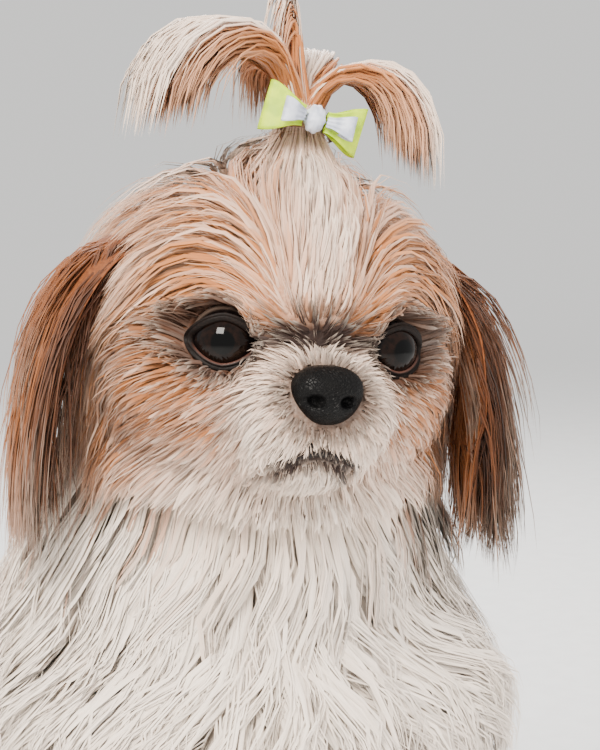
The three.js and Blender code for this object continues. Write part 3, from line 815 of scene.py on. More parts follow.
def ear_flap(side):
    """The flap as points and quads that face outwards."""
    rows, columns = 30, 32
    turn = np.linspace(0, 2 * math.pi, columns, endpoint=False)
    t, turn = np.meshgrid(np.linspace(0, 1, rows), turn, indexing="ij")
    at, _, _, out = ear_place(side, t.ravel(), np.cos(turn).ravel())
    thinning = np.sin(math.pi * np.clip(t * 1.1, 0.1, 1)) ** 0.4
    points = at + out * (EAR_HALF_THICK * np.sin(turn) * thinning).ravel()[:, None]
    faces = grid_faces(rows, columns, True)
    if side < 0:
        faces = faces[:, ::-1]
    return from_head(points), faces


skin_parts = [(skin_points, skin_quads)] + [ear_flap(side) for side in (1, -1)]
starts = np.cumsum([0] + [len(points) for points, _ in skin_parts[:-1]])
all_points = np.concatenate([points for points, _ in skin_parts])
all_quads = np.concatenate([quads + start for (_, quads), start in zip(skin_parts, starts)])
print("skin with ears:", len(all_quads), "quads")

# %% [markdown]
# ## Markings
# The coat is cream white, with a golden brown mask, ears and saddle.
# Dark hair grows between the eyes and at the lips.
# A painted image would need a map for every strand.
# A few numbers worked out from each root's place need none.
# The same numbers colour the skin and the hair, so no bald colour shows where the coat parts.

# %% How golden and how dark the coat is at each place


def ripple(p, scale, seed=0):
    """A smooth, uneven number between -1 and 1 that varies over scale millimetres."""
    q = np.asarray(p) / scale
    s = seed * 1.7
    return (
        np.sin(q[:, 0] * 1.9 + 1.3 * np.sin(q[:, 1] * 1.3 + s) + s)
        + np.sin(q[:, 1] * 2.1 + 1.1 * np.sin(q[:, 2] * 1.7 + s) + 2 * s)
        + np.sin(q[:, 2] * 1.7 + 1.2 * np.sin(q[:, 0] * 1.5 + s) + 3 * s)
    ) / 3


HEAD_FROM = 262


def fade(p, centre, shape, inner, outer):
    """1 near a centre and 0 away from it, with reaches stretched by a shape."""
    return 1 - smooth(np.linalg.norm((p - centre) / shape, axis=1), inner, outer)


def markings(p):
    """Golden, dark and red weights for places on the dog, as they are everywhere but on the ears."""
    q = into_head(p)
    x, y, z = np.abs(q[:, 0]), q[:, 1], q[:, 2]
    half = np.column_stack((x, y, z))
    on_head = smooth(p[:, 2], HEAD_FROM, HEAD_FROM + 22)
    blaze = (1 - smooth(x + 4 * ripple(q, 14), 4, 20)) * smooth(z, 0, 16)
    muzzle = fade(q, (0, -48, -20), (1.25, 1, 1), 14, 28)
    beard = smooth(-z, 22, 40) * (1 - smooth(y, -20, 6))
    golden_head = (1 - 0.58 * blaze) * (1 - 0.6 * muzzle) * (1 - 0.65 * beard)
    golden_head = golden_head * (1 - 0.25 * smooth(ripple(q, 9, 4), 0, 0.8))
    golden_head = golden_head * (1 - smooth(head_flesh(q), 2, 8) * (1 - smooth(p[:, 1], -50, -10)))
    saddle = smooth(ripple(p, 62, 2) + 0.6 * smooth(p[:, 1], 10, 60), 0.25, 0.6)
    saddle = saddle * smooth(p[:, 1], -10, 30) * smooth(p[:, 2], 60, 95)
    golden = blend(0.8 * saddle, golden_head, on_head)
    stop = fade(q, (0, -42, 2), (2.1, 1.3, 0.8), 4, 12)
    inner = fade(half, (15, -39, -1), 1, 4, 12)
    rim = 0.9 * fade(half, EYE_AT, 1, EYE_RADIUS + 1, EYE_RADIUS + 6)
    leather = 0.8 * fade(q, NOSE_AT, NOSE_SIZE, 1.1, 1.5)
    over = z - mouth_height(x)
    from_lips = np.where(over > 0, 1.6 * over, -over)
    lips = (1 - smooth(from_lips, 3.6, 6)) * (1 - smooth(x, 10, 16)) * (y < -26)
    dark = np.max((stop, inner, rim, leather, lips), axis=0) * on_head
    cheek = 0.7 * smooth(x, 12, 24) * (1 - smooth(z, -4, 12)) * smooth(z, -44, -20)
    cheek = cheek * (0.6 + 0.4 * ripple(q, 8, 6))
    side = smooth(y, -10, 12) * smooth(x, 28, 44) * (1 - smooth(z, 24, 42))
    red = on_head * np.clip(np.maximum(cheek, side), 0, 1)
    return {"golden": golden, "dark": dark, "red": red}


EAR_MARKS = {"golden": 1.0, "dark": 0.0, "red": 1.0}
skin_marks = markings(all_points)
on_ear = np.arange(len(all_points)) >= starts[1]
for name, value in EAR_MARKS.items():
    skin_marks[name] = np.where(on_ear, value, skin_marks[name])
print("golden share of the skin:", round(float(skin_marks["golden"].mean()), 2))

# %% [markdown]
# ## Finishes of skin and hair
# Hair gets a painted shade at its root, where little light gets in, and is bleached at its tip.
# Each strand also has its own shade, since no two are alike, and fine streaks run along it.
# The export can't carry a hair shader, so a plain surface gets these changes in its colour and bump.

# %% One colour formula for skin and coat
CREAM = paint(1.0, 0.945, 0.89)
FAWN = paint(0.77, 0.49, 0.28)
RUST = paint(0.50, 0.28, 0.12)
SOOT = paint(0.16, 0.09, 0.06)


def coat_colour(wire):
    """The coat's own colour, from the markings kept on the mesh."""
    golden = wire.attribute("golden")
    red = wire.attribute("red")
    dark = wire.attribute("dark")
    warm = red.mix(FAWN, RUST)
    return dark.mix(golden.mix(CREAM, warm), SOOT)


skin_finish, wire, shader = new_finish("skin under the coat", Roughness=0.75)
pores = wire.noise(900.0, 4.0)
feed(
    shader,
    Base_Color=pores.between(0.2, 0.8).mix(coat_colour(wire), paint(0.80, 0.72, 0.66), "MULTIPLY"),
    Normal=wire.bump(pores, 0.5, 0.0006),
)


# %% Hair: roots, tips, shades and streaks
# The painted shade at each strand's root, and the untouched colour further out.
ROOT_PAINTED_SHADE, FULL_TINT = (0.84, 0.77, 0.71, 1), (1, 1, 1, 1)
DEEP_SHADE, LIGHT_SHADE = (0.84, 0.80, 0.76, 1), (1.06, 1.06, 1.06, 1)


def hair_finish(name, gloss):
    made, wire, shader = new_finish(name, Roughness=gloss, Specular_IOR_Level=0.3, Sheen_Weight=0.08)
    along = wire.attribute("along")
    shade = wire.attribute("shade")
    # Painted shade: each strand darkens towards its root, where the coat above shades it.
    shaded = coat_colour(wire).tinted(along.between(0.0, 0.5).mix(ROOT_PAINTED_SHADE, FULL_TINT))
    comb_place = {"X": wire.attribute("across"), "Y": shade * 60.0, "Z": along * 0.8}
    streaks = wire.noise(1.0, 2.0, wire.node("ShaderNodeCombineXYZ", None, comb_place)).between(0.3, 0.7)
    varied = shaded.tinted((shade * 0.5 + streaks * 0.5).mix(DEEP_SHADE, LIGHT_SHADE))
    tip = along.between(0.5, 1.0) * 0.22
    feed(shader, Base_Color=tip.mix(varied, paint(1.0, 0.92, 0.84)), Normal=wire.bump(streaks, 0.2, 0.0002))
    return made


long_hair = hair_finish("long silky hair", 0.5)
short_hair = hair_finish("short face hair", 0.6)

# %% The skin stands for all the nodes of flesh
LEG_NODES = [f"{leg}_leg_{side}" for leg in ("front", "hind") for side in ("left", "right")]
flesh_nodes = ["head", "neck", "torso", "tail", "ear_left", "ear_right"] + LEG_NODES
skin = add_mesh("skin", all_points, all_quads, skin_finish)
add_values(skin, **skin_marks)
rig.replaces(skin, *flesh_nodes)
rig.slot(skin, "body_hair")
print("skin replaces", len(flesh_nodes), "nodes")

# %% [markdown]
# ## The skin's unwrap
# The export bakes colours onto a flat map named OFBake, so the skin is cut into charts and laid out flat.
# Seams could be marked by hand, but nobody sees them under the coat, so Blender chooses them.
# Each hair later takes a small patch of this map, at the place where it is rooted.

# %% Unwrap the skin
skin.data.uv_layers.new(name="OFBake")
bpy.context.view_layer.objects.active = skin
skin.select_set(True)
bpy.ops.object.mode_set(mode="EDIT")
bpy.ops.mesh.select_all(action="SELECT")
bpy.ops.uv.smart_project(angle_limit=math.radians(66), island_margin=0.002)
bpy.ops.object.mode_set(mode="OBJECT")
skin_map = np.empty(len(skin.data.loops) * 2)
skin.data.uv_layers["OFBake"].data.foreach_get("uv", skin_map)
skin_map = skin_map.reshape(-1, 4, 2)
print("map spans", skin_map.min(axis=(0, 1)), skin_map.max(axis=(0, 1)))

# %% [markdown]
# ## Sowing hair
# Roots are drawn evenly over the skin by its area, thicker where a weight asks for it.
# Walking through the faces in order, one step of area at a time, spaces them better than plain chance.

# %% Roots with their place on the map
quad_points = all_points[all_quads]
diagonals = np.cross(quad_points[:, 2] - quad_points[:, 0], quad_points[:, 3] - quad_points[:, 1])
quad_area = np.linalg.norm(diagonals, axis=1) / 2
quad_normal = unit(diagonals)
quad_middle = quad_points.mean(axis=1)
quad_on_ear = all_quads[:, 0] >= starts[1]
print("skin area:", round(float(quad_area.sum()) / 100), "square centimetres")


def sow(weight, count, chance):
    """That many roots on the skin: their places, their normals and their places on the map."""
    share = np.cumsum(quad_area * weight)
    steps = (np.arange(count) + chance.random(count)) / count * share[-1]
    face = np.minimum(np.searchsorted(share, steps), len(share) - 1)
    u, v = chance.random((2, count, 1))
    corner = quad_points[face]
    flat = skin_map[face]
    place = blend(blend(corner[:, 0], corner[:, 1], u), blend(corner[:, 3], corner[:, 2], u), v)
    chart = blend(blend(flat[:, 0], flat[:, 1], u), blend(flat[:, 3], flat[:, 2], u), v)
    return place, quad_normal[face], chart


# %% [markdown]
# ## Combing
# A few guide hairs are marched over the flesh: at each step a guide turns the way the coat lies there,
# rises to its own height above the flesh and is kept out of the eyes, the nose and the floor.
# Combing every hair this way would take much longer and look like a brush.
# So the others follow the guide nearest to them and draw in towards it, which makes soft wisps.

# %% Guides over the flesh
SIGHT = (7.8, 5.6)
NOSE_MARGIN = (1.2, 3, 1.2)
ROOT_DEPTH = 2.0
LEAST_HEIGHT = 1.5


def clear_of_face(p):
    """Pushes points out of the sight of each eye, off the nose leather and up off the floor."""
    q = into_head(p)
    for side in (-1, 1):
        across = across_gaze(side)
        from_eye = q - eye_centre(side)
        depth = from_eye @ gaze(side)
        x = from_eye @ across / SIGHT[0]
        z = from_eye[:, 2] / SIGHT[1]
        away = np.maximum(np.hypot(x, z), 1e-6)
        push = np.where((depth > 2) & (away < 1), 1 / away - 1, 0)[:, None]
        aside = across * (x * SIGHT[0])[:, None]
        rise = UP * (z * SIGHT[1])[:, None]
        q = q + np.minimum(push, 5) * (aside + rise)
    from_nose = (q - NOSE_AT) / (NOSE_SIZE + NOSE_MARGIN)
    near = np.maximum(np.linalg.norm(from_nose, axis=1), 1e-6)[:, None]
    q = np.where(near < 1, q + (q - NOSE_AT) * (1 / near - 1), q)
    p = from_head(q)
    p[:, 2] = np.maximum(p[:, 2], LEAST_HEIGHT)
    return p


def comb(roots, lie, length, lift, steps, field=whole_flesh, hold=0.25, turn=0.6):
    """Guides marched over a field; turn is how fast they take its lie, hold how hard they are held down."""
    out = slope(field, roots)
    along = lie(roots)
    along = unit(along - out * np.sum(along * out, axis=1)[:, None])
    lines = [roots - out * ROOT_DEPTH]
    p = roots
    for k in range(1, steps + 1):
        out = slope(field, p)
        along = blend(along, lie(p), turn)
        rise = np.maximum(np.sum(along * out, axis=1), 0)[:, None]
        along = unit(along - out * rise * 0.7)
        p = p + along * (length / steps)[:, None]
        wanted = lift * np.sin(min(1.3 * k / steps, 1) * math.pi / 2)
        off = wanted - field(p)
        p = p + slope(field, p) * np.where(off > 0, off, off * hold)[:, None]
        p = clear_of_face(p)
        lines.append(p)
    return np.stack(lines)


# %% Hairs that follow the guides
STRAY_SHARE = 0.1
STRAY_DRIFT = 2.6
WISP_HALF = 2.5
SHORTEST = 0.7


def at_length(lines, fraction):
    """The same lines, each cut to a fraction of its length."""
    steps = len(lines) - 1
    place = np.linspace(0, 1, steps + 1)[:, None] * fraction[None, :] * steps
    low = np.minimum(place.astype(int), steps - 1)
    s = (place - low)[..., None]
    column = np.arange(lines.shape[1])[None, :]
    return blend(lines[low, column], lines[low + 1, column], s)


def nearest_of(places, roots):
    """The number of the place that is nearest to each root."""
    tree = KDTree(len(places))
    for i, place in enumerate(places):
        tree.insert(place, i)
    tree.balance()
    return np.array([tree.find(root)[1] for root in roots])


def follow(guides, guide_roots, roots, chance, gather=0.7, messy=1.0, wave=0.0, wavelength=34.0):
    """Hairs drawn in towards their nearest guide, and the side of its wisp that each is on."""
    nearest = nearest_of(guide_roots, roots)
    steps = len(guides) - 1
    t = np.linspace(0, 1, steps + 1)[:, None]
    lines = guides[:, nearest]
    apart = roots - guide_roots[nearest]
    pull = (1 - gather * t ** 0.8)[..., None]
    tangent = unit(np.gradient(lines, axis=0))
    if wave:
        length = np.linalg.norm(np.diff(lines, axis=0), axis=2).sum(axis=0)
        phase = 3 * ripple(guide_roots, 70, 5) + chance.normal(0, 0.35, len(guide_roots))
        side = unit(np.cross(tangent, slope(whole_flesh, guide_roots, 2.0)[nearest]))
        reach = wave * chance.uniform(0.6, 1.3, len(guide_roots))
        turns = length / wavelength * chance.uniform(0.9, 1.15, len(guide_roots))[nearest]
        bend = reach[nearest] * t ** 0.7 * np.sin(phase[nearest] + 2 * math.pi * t * turns)
        lines = lines + side * bend[..., None]
    lines = lines + apart * pull
    stray = messy * np.where(chance.random((len(roots), 1)) < STRAY_SHARE, STRAY_DRIFT, 1)
    drift = chance.normal(0, 1, (len(roots), 3)) * stray
    curl = chance.normal(0, 0.5, (len(roots), 3)) * stray
    lines = lines + drift * (t ** 1.5)[..., None] + curl * np.sin(t * math.pi)[..., None]
    lines = at_length(lines, chance.uniform(SHORTEST, 1, len(roots)))
    return lines, apart / np.maximum(np.linalg.norm(apart, axis=1), WISP_HALF)[:, None]


# %% [markdown]
# ## Strands
# Each hair seen at this size stands for a wisp of real ones: a three-sided shaft that tapers to nothing.
# A flat ribbon would vanish edge on.
# Three sides with smooth shading look round, and cost a third of a round tube.

# %% The form of one strand
MOST_TRIANGLES = 190000
PATCH = 0.003
STREAKS_PER_MM = 2.3
FLATNESS = 0.4
CORNERS = (math.pi / 2, math.pi * 7 / 6, math.pi * 11 / 6)
CORNER_ACROSS = [0, -0.87, 0.87]
WISP_LEAN = 0.5


def strand_faces(rings):
    """The triangles of one strand: its wall, its tip and its cut root."""
    wall = grid_faces(rings - 1, 3, True)
    wall = np.concatenate((wall[:, [0, 2, 1]], wall[:, [0, 3, 2]]))
    top = 3 * (rings - 2)
    tip = np.array([[top + (k + 1) % 3, top + k, top + 3] for k in range(3)])
    return np.concatenate((wall, tip, [[0, 1, 2]]))


def with_tip(corners, tip):
    """The values of all corners, strand by strand and ring by ring, each strand ending in its tip."""
    rings = np.stack(corners, 2)[:-1].transpose(1, 0, 2, 3)
    return np.concatenate((rings.reshape(len(tip), -1, 3), tip[:, None]), 1)


print("triangles of a strand with 7 rings:", len(strand_faces(7)))

# %% Strands with their colours and their patch of the map
totals = {}


def weave(
    name, lines, flat, width, chart, marks, chance, finish, nodes, slot,
    outward=None, wisp_side=0.0, roundness=0.3, field=whole_flesh,
):
    """Solid strands along lines, in pieces that stay under the limit.

    Light falls on a coat as on one soft surface, so each strand's normals lean the way out of the coat,
    and a little towards its side of the wisp, which makes each wisp look round.
    """
    rings, count, _ = lines.shape
    faces = strand_faces(rings)
    each = len(faces)
    if outward is None:
        outward = slope(field, lines.reshape(-1, 3), 1.5).reshape(lines.shape)
    outward = unit(outward + WISP_LEAN * wisp_side)
    order = np.argsort(lines[0, :, 0] + 0.01 * lines[0, :, 2])
    parts = np.array_split(order, math.ceil(each * count / MOST_TRIANGLES))
    shade = chance.random(count)
    for number, part in enumerate(parts):
        path = lines[:, part]
        n = len(part)
        tangent = unit(np.gradient(path, axis=0))
        side = unit(np.cross(tangent, flat[part]))
        out = np.cross(side, tangent)
        t = np.linspace(0, 1, rings)
        full = (0.7 + 0.9 * t) * (1 - t) ** 0.75
        corners = []
        lit = []
        for angle in CORNERS:
            offset = side * math.cos(angle) + out * math.sin(angle) * FLATNESS
            corners.append(path + offset * (full[:, None] * width[part])[..., None] / 2)
            lit.append(unit(outward[:, part] + roundness * unit(offset)))
        points = with_tip(corners, path[-1])
        lit = with_tip(lit, outward[-1, part])
        own = points.shape[1]
        all_faces = (faces[None] + np.arange(n)[:, None, None] * own).reshape(-1, 3)
        piece = add_mesh(f"{name}_{number + 1}", points.reshape(-1, 3), all_faces, finish)
        piece.data.normals_split_custom_set_from_vertices(lit.reshape(-1, 3))
        along = np.append(np.repeat(t[:-1], 3), 1)
        across = np.append(np.tile(CORNER_ACROSS, rings - 1), 0)[None]
        across = across * width[part][:, None] * STREAKS_PER_MM
        values = {key: np.repeat(value[part], own) for key, value in {**marks, "shade": shade}.items()}
        add_values(piece, along=np.tile(along, n), across=across.ravel(), **values)
        corner = np.append(np.tile([0, 0.5, 1], rings - 1), 0.5)
        local = np.column_stack((corner - 0.5, along - 0.5)) * PATCH
        spots = chart[part][:, None] + local[None]
        layer = piece.data.uv_layers.new(name="OFBake")
        layer.data.foreach_set("uv", spots.reshape(-1, 2)[all_faces.ravel()].ravel())
        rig.slot(piece, slot)
        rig.replaces(piece, *nodes)
    totals[name] = each * count
    print(f"{name}: {count} strands, {each * count} triangles in {len(parts)} pieces")


# %% [markdown]
# ## The head's coat
# Between the eyes the hair springs up to the topknot. At the brows it parts and falls outwards in long arcs.
# On the muzzle it is short and grows away from the nose on every side, like the petals of a chrysanthemum.
# Such a flow could be brushed in by hand.
# Written as a direction for each place, it is the same on every run.

# %% How the head's hair lies


def from_eyes(q):
    """The distance to the nearer eye's middle."""
    return np.minimum(*[np.linalg.norm(q - eye_centre(side), axis=1) for side in (-1, 1)])


def head_lie(p):
    """The way that the head's hair lies at each place."""
    q = into_head(p)
    side = np.sign(q[:, 0]) + (q[:, 0] == 0)
    x = np.abs(q[:, 0])
    aside = smooth(x, 6, 22)[:, None]
    front = (1 - smooth(q[:, 1], -20, 6))[:, None]
    brow = smooth(q[:, 2], 4, 16)[:, None]
    rising = unit(BAND_AT - q)
    drop = 1.8 * smooth(x + 0.3 * np.maximum(q[:, 1], 0), 18, 44)
    parting = unit(np.column_stack((side, np.full(len(q), 0.3), 0.5 - drop)))
    from_nose = unit(q - NOSE_AT) + (0, 0.15, -0.55)
    upper = blend(rising, parting, aside)
    face = blend(from_nose, upper, brow)
    behind = np.column_stack((side * 0.25, np.full(len(q), 0.2), np.full(len(q), -1.0)))
    behind = blend(behind, parting, smooth(q[:, 2], 14, 30)[:, None])
    gathered = smooth(q[:, 2], 32, 44) * (1 - smooth(x, 10, 30))
    lie = unit(blend(blend(behind, face, front), rising, gathered[:, None]))
    for eye in (-1, 1):
        from_eye = q - eye_centre(eye)
        ahead = from_eye @ gaze(eye)
        aside = from_eye - ahead[:, None] * gaze(eye)
        ring = 0.8 * (1 - smooth(np.linalg.norm(aside, axis=1), 8, 15)) * (ahead > 0)
        lie = blend(lie, unit(aside), ring[:, None])
    return unit(lie) @ HEAD_TURN.T


# %% How long it is and how high it stands
HEM_FRONT, HEM_BACK = -58, -52


def head_length(q):
    """How long it is: short round eyes, nose and mouth, and down to a hem elsewhere."""
    x = np.abs(q[:, 0])
    back = smooth(q[:, 1], -40, -4)
    brow = smooth(q[:, 2], 6, 18)
    crown = smooth(q[:, 2], 32, 44) * (1 - smooth(x, 10, 30))
    free = blend(14, 46, back) + 34 * brow * smooth(x, 5, 14)
    hem = blend(HEM_FRONT, HEM_BACK, back)
    free = np.minimum(free, np.maximum(1.15 * (q[:, 2] - hem), 9))
    free = blend(6, free, smooth(from_eyes(q), EYE_RADIUS + 1, EYE_RADIUS + 7))
    free = blend(5, free, smooth(np.linalg.norm((q - NOSE_AT) / NOSE_SIZE, axis=1), 1.0, 1.9))
    length = blend(free, 0.95 * np.linalg.norm(q - BAND_AT, axis=1), crown)
    over = q[:, 2] - mouth_height(x)
    at_mouth = (x < 16) & (q[:, 1] < -30)
    length = np.where(at_mouth & (over > 0), np.minimum(length, np.maximum(over, 4)), length)
    under_lip = np.minimum(length, blend(3.5, 16, smooth(-over, 4, 8)))
    return np.where(at_mouth & (over < 0), under_lip, length)


def head_lift(q):
    """How high it stands over the flesh."""
    top = smooth(q[:, 2], 8, 26)
    return blend(3.0, 23, np.maximum(smooth(q[:, 1], -44, 0), 0.8 * top))


# %% Where the head's hair is rooted
quad_head = into_head(quad_middle)
eye_gap = from_eyes(quad_head)
nose_gap = np.linalg.norm((quad_head - NOSE_AT) / (NOSE_SIZE + 1.5), axis=1)
mouth_gap = quad_head[:, 2] - mouth_height(quad_head[:, 0])
on_mouth = (mouth_gap > -2.6) & (mouth_gap < 1.0)
on_mouth = on_mouth & (np.abs(quad_head[:, 0]) < 15) & (quad_head[:, 1] < -30)
bare = (eye_gap < EYE_RADIUS + 0.6) | (nose_gap < 0.85) | on_mouth
head_part = ~quad_on_ear & (quad_middle[:, 2] > HEAD_FROM) & (head_flesh(quad_head) < 3) & ~bare
head_weight = head_part * blend(2.2, 1.0, smooth(quad_head[:, 1], -44, -4))
head_weight = head_weight * (1 + 1.5 * (1 - smooth(nose_gap, 1, 1.6)) + 1.5 * (1 - smooth(eye_gap, 12, 16)))
in_face = 1 - smooth(quad_head[:, 1], -34, -24)
print("head and face:", int(head_part.sum()), "quads of skin")

# %% Three layers: an undercoat, the face's short hair and the long hair


def grow_head(name, weight, guide_count, count, seed, steps, height, broad, gather, messy):
    """One layer of the head's coat; height is the lowest and highest share of its full lift."""
    chance = np.random.default_rng(seed)
    guide_roots, _, _ = sow(weight, guide_count, chance)
    q = into_head(guide_roots)
    long = head_length(q) * chance.uniform(0.8, 1.12, len(q))
    tall = head_lift(q) * chance.uniform(*height, len(q))
    guides = comb(guide_roots, head_lie, long, tall, steps, turn=0.5, hold=0.1)
    roots, normals, chart = sow(weight, count, chance)
    lines, wisp_side = follow(guides, guide_roots, roots, chance, gather=gather, messy=messy)
    lines = clear_of_face(lines.reshape(-1, 3)).reshape(lines.shape)
    width = broad * blend(0.5, 1, smooth(into_head(roots)[:, 1], -44, -10))
    width = width * chance.uniform(0.7, 1.25, count)
    marks = markings(roots)
    marks["golden"] = np.clip(marks["golden"] * chance.uniform(0.65, 1.25, count), 0, 1)
    weave(
        name, lines, normals, width, chart, marks, chance, short_hair, ["head"], "face_hair",
        wisp_side=wisp_side,
    )


grow_head(
    "head_undercoat", head_weight, 1500, 4200, 11,
    steps=5, height=(0.7, 0.92), broad=3.0, gather=0.3, messy=0.8,
)
grow_head(
    "face_hair", head_weight * in_face, 1300, 7600, 12,
    steps=3, height=(0.5, 1.0), broad=0.85, gather=0.5, messy=0.6,
)
grow_head(
    "head_hair", head_weight * (1 - in_face), 1300, 10800, 13,
    steps=5, height=(0.8, 1.0), broad=0.72, gather=0.65, messy=1.0,
)

# %% [markdown]
# ## The body's coat
# Long hair has nothing to hold it up, so it falls from back and neck towards the floor, a little outwards.
# On the chest it runs in loose waves. The legs carry shorter hair that stops just above the floor.
# A simulation could let it fall, but is slow for so many strands.
# A lie with a little of each direction gives such a hang at once.

# %% How the body's hair lies


def body_lie(p):
    """Down, a little back and to both sides."""
    aside = 0.3 * np.sign(p[:, 0]) * smooth(np.abs(p[:, 0]), 4, 40)
    return unit(np.column_stack((aside, np.full(len(p), 0.12), np.full(len(p), -1.0))))


def chest_lie(p):
    """The same, spread like a fan over the chest and swirled."""
    front = smooth(-p[:, 1], 0, 60)
    fan = 0.25 * front * np.sign(p[:, 0]) * smooth(np.abs(p[:, 0]), 0, 30)
    swirl = 0.5 * ripple(p, 60, 3) * (0.25 + 0.75 * front)
    return unit(body_lie(p) + np.column_stack((fan + swirl, 0 * fan, 0 * fan)))


def grow_coat(name, nodes, weight, guide_count, count, seed, steps, lie, length, lift, width, **style):
    """Sow, comb and weave one coat; length, lift and width are functions of the root."""
    chance = np.random.default_rng(seed)
    comb_style = {key: style.pop(key) for key in ("hold", "turn", "field") if key in style}
    field = comb_style.get("field", whole_flesh)
    guide_roots, _, _ = sow(weight, guide_count, chance)
    tall = lift(guide_roots) * chance.uniform(0.88, 1.0, guide_count)
    long = length(guide_roots) * chance.uniform(0.8, 1.1, guide_count)
    guides = comb(guide_roots, lie, long, tall, steps, **comb_style)
    roots, normals, chart = sow(weight, count, chance)
    lines, wisp_side = follow(guides, guide_roots, roots, chance, **style)
    lines = clear_of_face(lines.reshape(-1, 3)).reshape(lines.shape)
    wide = width(roots) * chance.uniform(0.7, 1.3, count)
    weave(
        name, lines, normals, wide, chart, markings(roots), chance, long_hair, nodes, "body_hair",
        wisp_side=wisp_side, field=field,
    )


def constant(value):
    return lambda p: np.full(len(p), float(value))


# %% Which part of the skin belongs to which coat
body_part = ~quad_on_ear & ~head_part & (head_flesh(quad_head) > 1)
y, z = quad_middle[:, 1], quad_middle[:, 2]
on_tail = tail_flesh(quad_middle) < 2
leg_gap = np.minimum(both_sides(front_leg_flesh)(quad_middle), both_sides(hind_leg_flesh)(quad_middle))
on_leg = (leg_gap < 1.5) & (torso_flesh(quad_middle) > 2)
neck_part = body_part & ~on_tail & ~on_leg & (z > 186)
torso_part = body_part & ~on_tail & ~on_leg & ~neck_part & (z > 6)
leg_part = on_leg & body_part & (z > 5)
front_weight = blend(1.0, 1.9, smooth(-y, 0, 50))
print("neck, torso and legs:", [int(part.sum()) for part in (neck_part, torso_part, leg_part)], "quads")

# %% Chest, neck, back, legs
LAYERS = (
    {"name": "undercoat", "share": 0.93, "broad": 3.0, "gather": 0.45, "messy": 0.9},
    {"name": "hair", "share": 1.0, "broad": 0.9, "gather": 0.7, "messy": 0.9},
)


def neck_lift(p):
    """Full on the chest, and lower under the chin, where the head shades it."""
    under_chin = smooth(p[:, 2], 226, 262) * smooth(-p[:, 1], 40, 80)
    return blend(26 + 9 * smooth(np.abs(p[:, 0]), 20, 50), 13, under_chin)


for layer, count in zip(LAYERS, (3000, 7000)):
    grow_coat(
        f"neck_{layer['name']}", ["neck"], neck_part * front_weight, 520, count, 21,
        steps=6, lie=chest_lie, length=constant(84),
        lift=lambda p: layer["share"] * neck_lift(p), width=constant(layer["broad"]),
        gather=layer["gather"], messy=layer["messy"], wave=8.5, wavelength=62,
    )
for layer, count in zip(LAYERS, (2400, 4600)):
    grow_coat(
        f"torso_{layer['name']}", ["torso"], torso_part, 620, count, 22,
        steps=5, lie=chest_lie, length=lambda p: blend(46, 82, smooth(p[:, 2], 40, 120)),
        lift=constant(23 * layer["share"]), width=constant(1.2 * layer["broad"]),
        gather=layer["gather"], messy=layer["messy"], wave=6.5, wavelength=66,
    )
grow_coat(
    "leg_hair", LEG_NODES, leg_part, 420, 3800, 23,
    steps=4, lie=body_lie, length=lambda p: blend(14, 42, smooth(p[:, 2], 10, 60)),
    lift=constant(11), width=constant(1.5), gather=0.7, messy=1.0,
)

# %% [markdown]
# ## The tail
# The tail is a plume: it curls up over the back, and its hair streams along it and falls to both sides.
# The body's hair only falls, so the tail's gets a lie of its own: along the bone, outwards, and then down.

# %% Hair along the tail


def tail_lie(p):
    places, directions = along_curve(TAIL, np.linspace(0, 1, 25))
    nearest = np.argmin(np.linalg.norm(p[:, None] - places[None], axis=2), axis=1)
    aside = unit(p - places[nearest])
    return unit(directions[nearest] + 0.25 * aside + (0, 0, -0.55))


grow_coat(
    "tail_hair", ["tail"], on_tail & (whole_flesh(quad_middle) > -1), 260, 2000, 24,
    steps=6, lie=tail_lie, length=constant(72), lift=constant(18), width=constant(1.6),
    field=tail_flesh, hold=0.1, gather=0.7, messy=1.8, wave=2.0,
)

# %% [markdown]
# ## Ear hair
# Long rust-coloured hair hangs from the whole outside of each flap and well past its tip, a little wavy.
# Combing keeps hair close to the flesh. This hair leaves the flap and hangs free, so its guides simply fall.

# %% Guides that hang, and patches of the map


def nearest_chart(roots, quads):
    """The place on the map of the quad that is nearest to each root."""
    return skin_map[quads[nearest_of(quad_middle[quads], roots)]].mean(axis=1)


def hang(roots, out, start, length, steps, fall):
    """Guides that start in one direction and turn downwards; fall is how fast they turn."""
    along = unit(start)
    lines = [roots - out]
    p = roots
    for _ in range(steps):
        along = unit(blend(along, -UP, fall))
        p = p + along * (length / steps)[:, None]
        lines.append(p)
    return np.stack(lines)


# %% The hair of each ear
EAR_HEM = -80
OUTER_SHARE = 0.85


